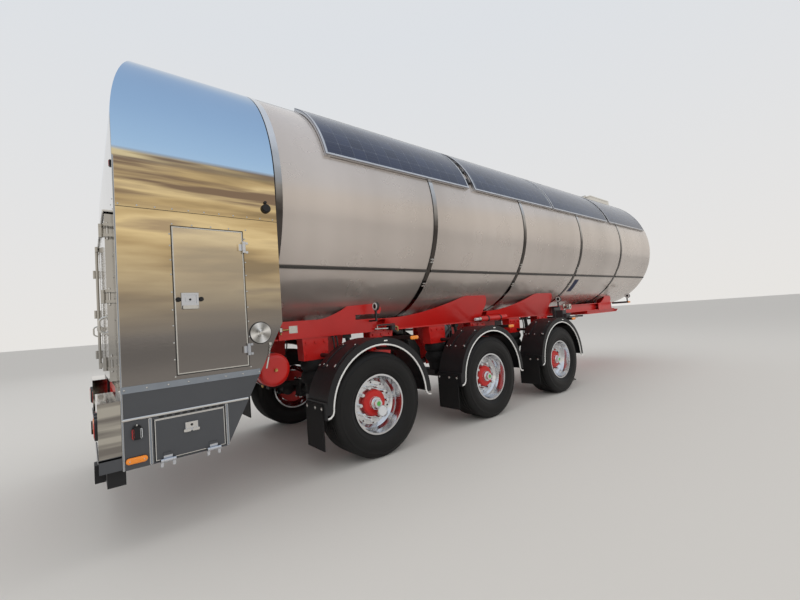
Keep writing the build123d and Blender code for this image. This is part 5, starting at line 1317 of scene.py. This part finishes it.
rear_trim = bmesh.new()
for way in (-1, 1):
    for z in (1.210, 1.660, 2.110):
        pin_ends = [(-5.140, way * 1.128, z + shift) for shift in (-0.060, 0.060)]
        add_rod(rear_trim, *pin_ends, 0.007, 14, bevel=0.002)
    add_side_block(rear_trim, way, (-5.1575, -5.154), (0.004, 0.020), (1.094, 2.226), 0.0008, 1)
add_block(rear_trim, (-5.165, -1.130, 2.245), (-5.106, 1.130, 2.258), 0.004, 0)
add_block(rear_trim, (-5.165, -1.130, 2.236), (-5.160, 1.130, 2.248), 0.001, 0)
fit_shape("rear_trim", rear_trim, "polished_steel", polished_steel, dark_joint)
rear_rivets = []
for way in (-1, 1):
    for shift in [0.15 * n for n in range(8)]:
        rear_rivets.append(((-5.1105, way * 1.190, 1.20 + shift), (-1, 0, 0)))
        rear_rivets.append(((-5.1105, way * (0.10 + shift), 2.330), (-1, 0, 0)))
fasten("rear_rivets", rear_rivets, 0.0045, 0.0025, bright_zinc)

buffer_ribs = [(-5.2485, way * 0.900, 0.420 + 0.021 * n) for way in (-1, 1) for n in range(5)]
add_bars("buffer_ribs", buffer_ribs, (0.003, 0.104, 0.008), rubber)
bumper_bolts = [((-5.190, way * y, z), (-1, 0, 0))
                for way in (-1, 1) for y in (0.30, 0.52) for z in (0.438, 0.486)]
fasten("bumper_bolts", bumper_bolts, 0.012, 0.008, bright_zinc, tree=screw_tree)


# Lamps. Tail lamps: ribbed lenses in black rims, red outside, amber in the middle and clear
# inside. Side lamps: amber lenses in a dark frame. Round lamps on arms: dark lenses in white rings.
red_lens, red_lens_shader, red_lens_place = start_finish("red_lens", (0.55, 0.015, 0.015), 0.14, coat=0.5)
amber_lens, amber_shader, amber_place = start_finish("amber_lens", (0.90, 0.26, 0.02), 0.16, coat=0.5)
clear_lens, clear_shader, clear_place = start_finish("clear_lens", (0.72, 0.74, 0.76), 0.10, coat=0.6)
for place, shader, light, dark in (
        (red_lens_place, red_lens_shader, (0.62, 0.018, 0.016), (0.34, 0.008, 0.008)),
        (amber_place, amber_shader, (1.0, 0.34, 0.02), (0.86, 0.22, 0.01)),
        (clear_place, clear_shader, (0.80, 0.82, 0.84), (0.46, 0.48, 0.50))):
    held_x, held_z = place.split()[::2]
    prisms = ((held_x * 520).maths("SINE") * (held_z * 520).maths("SINE") + 1.0) * 0.5
    prisms.mix(dark, light).into(shader, "Base Color")
    prisms.bump(shader, 0.0008, 0.6)
dress(red_lens, "tail_lamps")

lamp_z = 0.795
rim = [(0.0625, 0.0), (0.069, 0.0), (0.069, 0.012), (0.066, 0.0165), (0.0625, 0.0165), (0.0625, 0.0)]
glass = [(0.0, 0.0), (0.0618, 0.0), (0.060, 0.0018), (0.045, 0.0030), (0.0, 0.0040)]
lamp_rims = bmesh.new()
for way in (-1, 1):
    for y, finish in ((1.150, 1), (1.005, 2), (0.860, 3)):
        add_turned(lamp_rims, (-5.2290, way * y, lamp_z), (-1, 0, 0), rim, 40, 0)
        add_turned(lamp_rims, (-5.2455, way * y, lamp_z), (-1, 0, 0), glass, 40, finish)
        for radius in (0.020, 0.036, 0.050):
            ridge_low, ridge_high = radius - 0.0022, radius + 0.0022
            ridge = [(ridge_low, 0.0), (ridge_high, 0.0), (radius, 0.0018), (ridge_low, 0.0)]
            add_turned(lamp_rims, (-5.2480, way * y, lamp_z), (-1, 0, 0), ridge, 40, finish)
    add_side_block(lamp_rims, way, (-5.2360, -5.1120), (0.650, 1.256), (0.604, 0.6195), 0.002, 4)
    add_side_block(lamp_rims, way, (-5.2340, -5.2295), (0.700, 0.760), (0.735, 0.855), 0.002, 1)
fit_shape("tail_lamp_lenses", lamp_rims, "red_lens", black_plastic, red_lens, amber_lens, clear_lens,
          mill_aluminium)

# Amber side lamps: pill shaped domed lenses, on a dark base with a screw at each end. They
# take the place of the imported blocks.
lens_height, lens_steps = 0.044, 28
# inset and how far out, from the foot up
lens_section = [(0.0015, 0.005), (0.0015, 0.014), (0.004, 0.018), (0.009, 0.0212), (0.015, 0.0220)]
base_section = [(0.0, 0.0), (0.0, 0.006), (0.0015, 0.0075)]
# x, y on the left side, z, length
side_lamps = [(-2.50, 1.195, 1.150, 0.120), (-0.69, 1.195, 1.150, 0.120), (1.12, 1.195, 1.150, 0.120),
              (4.15, 0.995, 1.360, 0.120), (-5.035, 1.260, 0.576, 0.124)]
side_lenses = bmesh.new()
side_bases = bmesh.new()
side_screws = []
for way in (-1, 1):
    for x, y, z, length in side_lamps:
        for shape, section in ((side_lenses, lens_section), (side_bases, base_section)):
            rings = []
            for inset, out in section:
                radius = lens_height / 2 - inset
                ring = []
                for n in range(lens_steps):
                    turn = 2 * math.pi * (n + 0.5) / lens_steps
                    to_end = math.copysign((length - lens_height) / 2, math.cos(turn))
                    along = to_end + radius * math.cos(turn)
                    ring.append(shape.verts.new((x + along, way * (y + out), z + radius * math.sin(turn))))
                rings.append(ring)
            add_skin(shape, rings, capped=True)
        side_screws += [((x + shift, way * (y + 0.0218), z), (0, way, 0)) for shift in (-0.040, 0.040)]
bmesh.ops.recalc_face_normals(side_lenses, faces=side_lenses.faces)
bmesh.ops.recalc_face_normals(side_bases, faces=side_bases.faces)
fit_shape("side_lamp_lenses", side_lenses, "orange_lens", amber_lens, replaced=("side_lamps",))
fit_shape("side_lamp_bases", side_bases, "black_plastic", black_plastic)
fasten("side_lamp_screws", side_screws, 0.0045, 0.002, bright_zinc)

# Outline lamps low on the skirt: a black body with a red lens to the rear, a clear one to
# the front and a bolt on top; and a small red lamp high on the cabinet's rear edge.
skirt_lamps = bmesh.new()
for way in (-1, 1):
    add_side_block(skirt_lamps, way, (-5.054, -5.005), (1.2595, 1.2860), (0.706, 0.796), 0.008, 0)
    add_side_block(skirt_lamps, way, (-5.0585, -5.0440), (1.2640, 1.2885), (0.712, 0.778), 0.005, 1)
    add_side_block(skirt_lamps, way, (-5.0150, -5.0005), (1.2640, 1.2885), (0.712, 0.778), 0.005, 2)
    bolt_ends = [(-5.0295, way * 1.272, z) for z in (0.794, 0.806)]
    add_rod(skirt_lamps, *bolt_ends, 0.007, 6, bevel=0.001, finish=3)
    add_side_block(skirt_lamps, way, (-5.1200, -5.1090), (1.200, 1.240), (2.530, 2.575), 0.003, 0)
    add_side_block(skirt_lamps, way, (-5.1240, -5.1190), (1.204, 1.236), (2.534, 2.571), 0.002, 1)
fit_shape("outline_lamps", skirt_lamps, "red_lens", black_plastic, red_lens, clear_lens, bright_zinc)

# Round lamps: moulded plastic, at the ends of the tank's arms. They face the rear, with a
# white ring round a dark lens.
arm_lamps = bmesh.new()
ring_section = [(0.026, 0.0), (0.044, 0.0), (0.044, 0.004), (0.040, 0.007), (0.030, 0.007), (0.026, 0.0)]
arm_glass = [(0.0, 0.0), (0.0265, 0.0), (0.0265, 0.003), (0.018, 0.006), (0.0, 0.0078)]
for way in (-1, 1):
    for x, y, z in ((-2.730, 0.855, 1.525), (1.390, 0.825, 1.505), (4.210, 0.965, 1.500)):
        for finish, section in enumerate((ring_section, arm_glass)):
            add_turned(arm_lamps, (x - 0.0195, way * y, z), (-1, 0, 0), section, 36, finish)
fit_shape("arm_lamp_lenses", arm_lamps, "black_paint", white_edging, black_plastic)
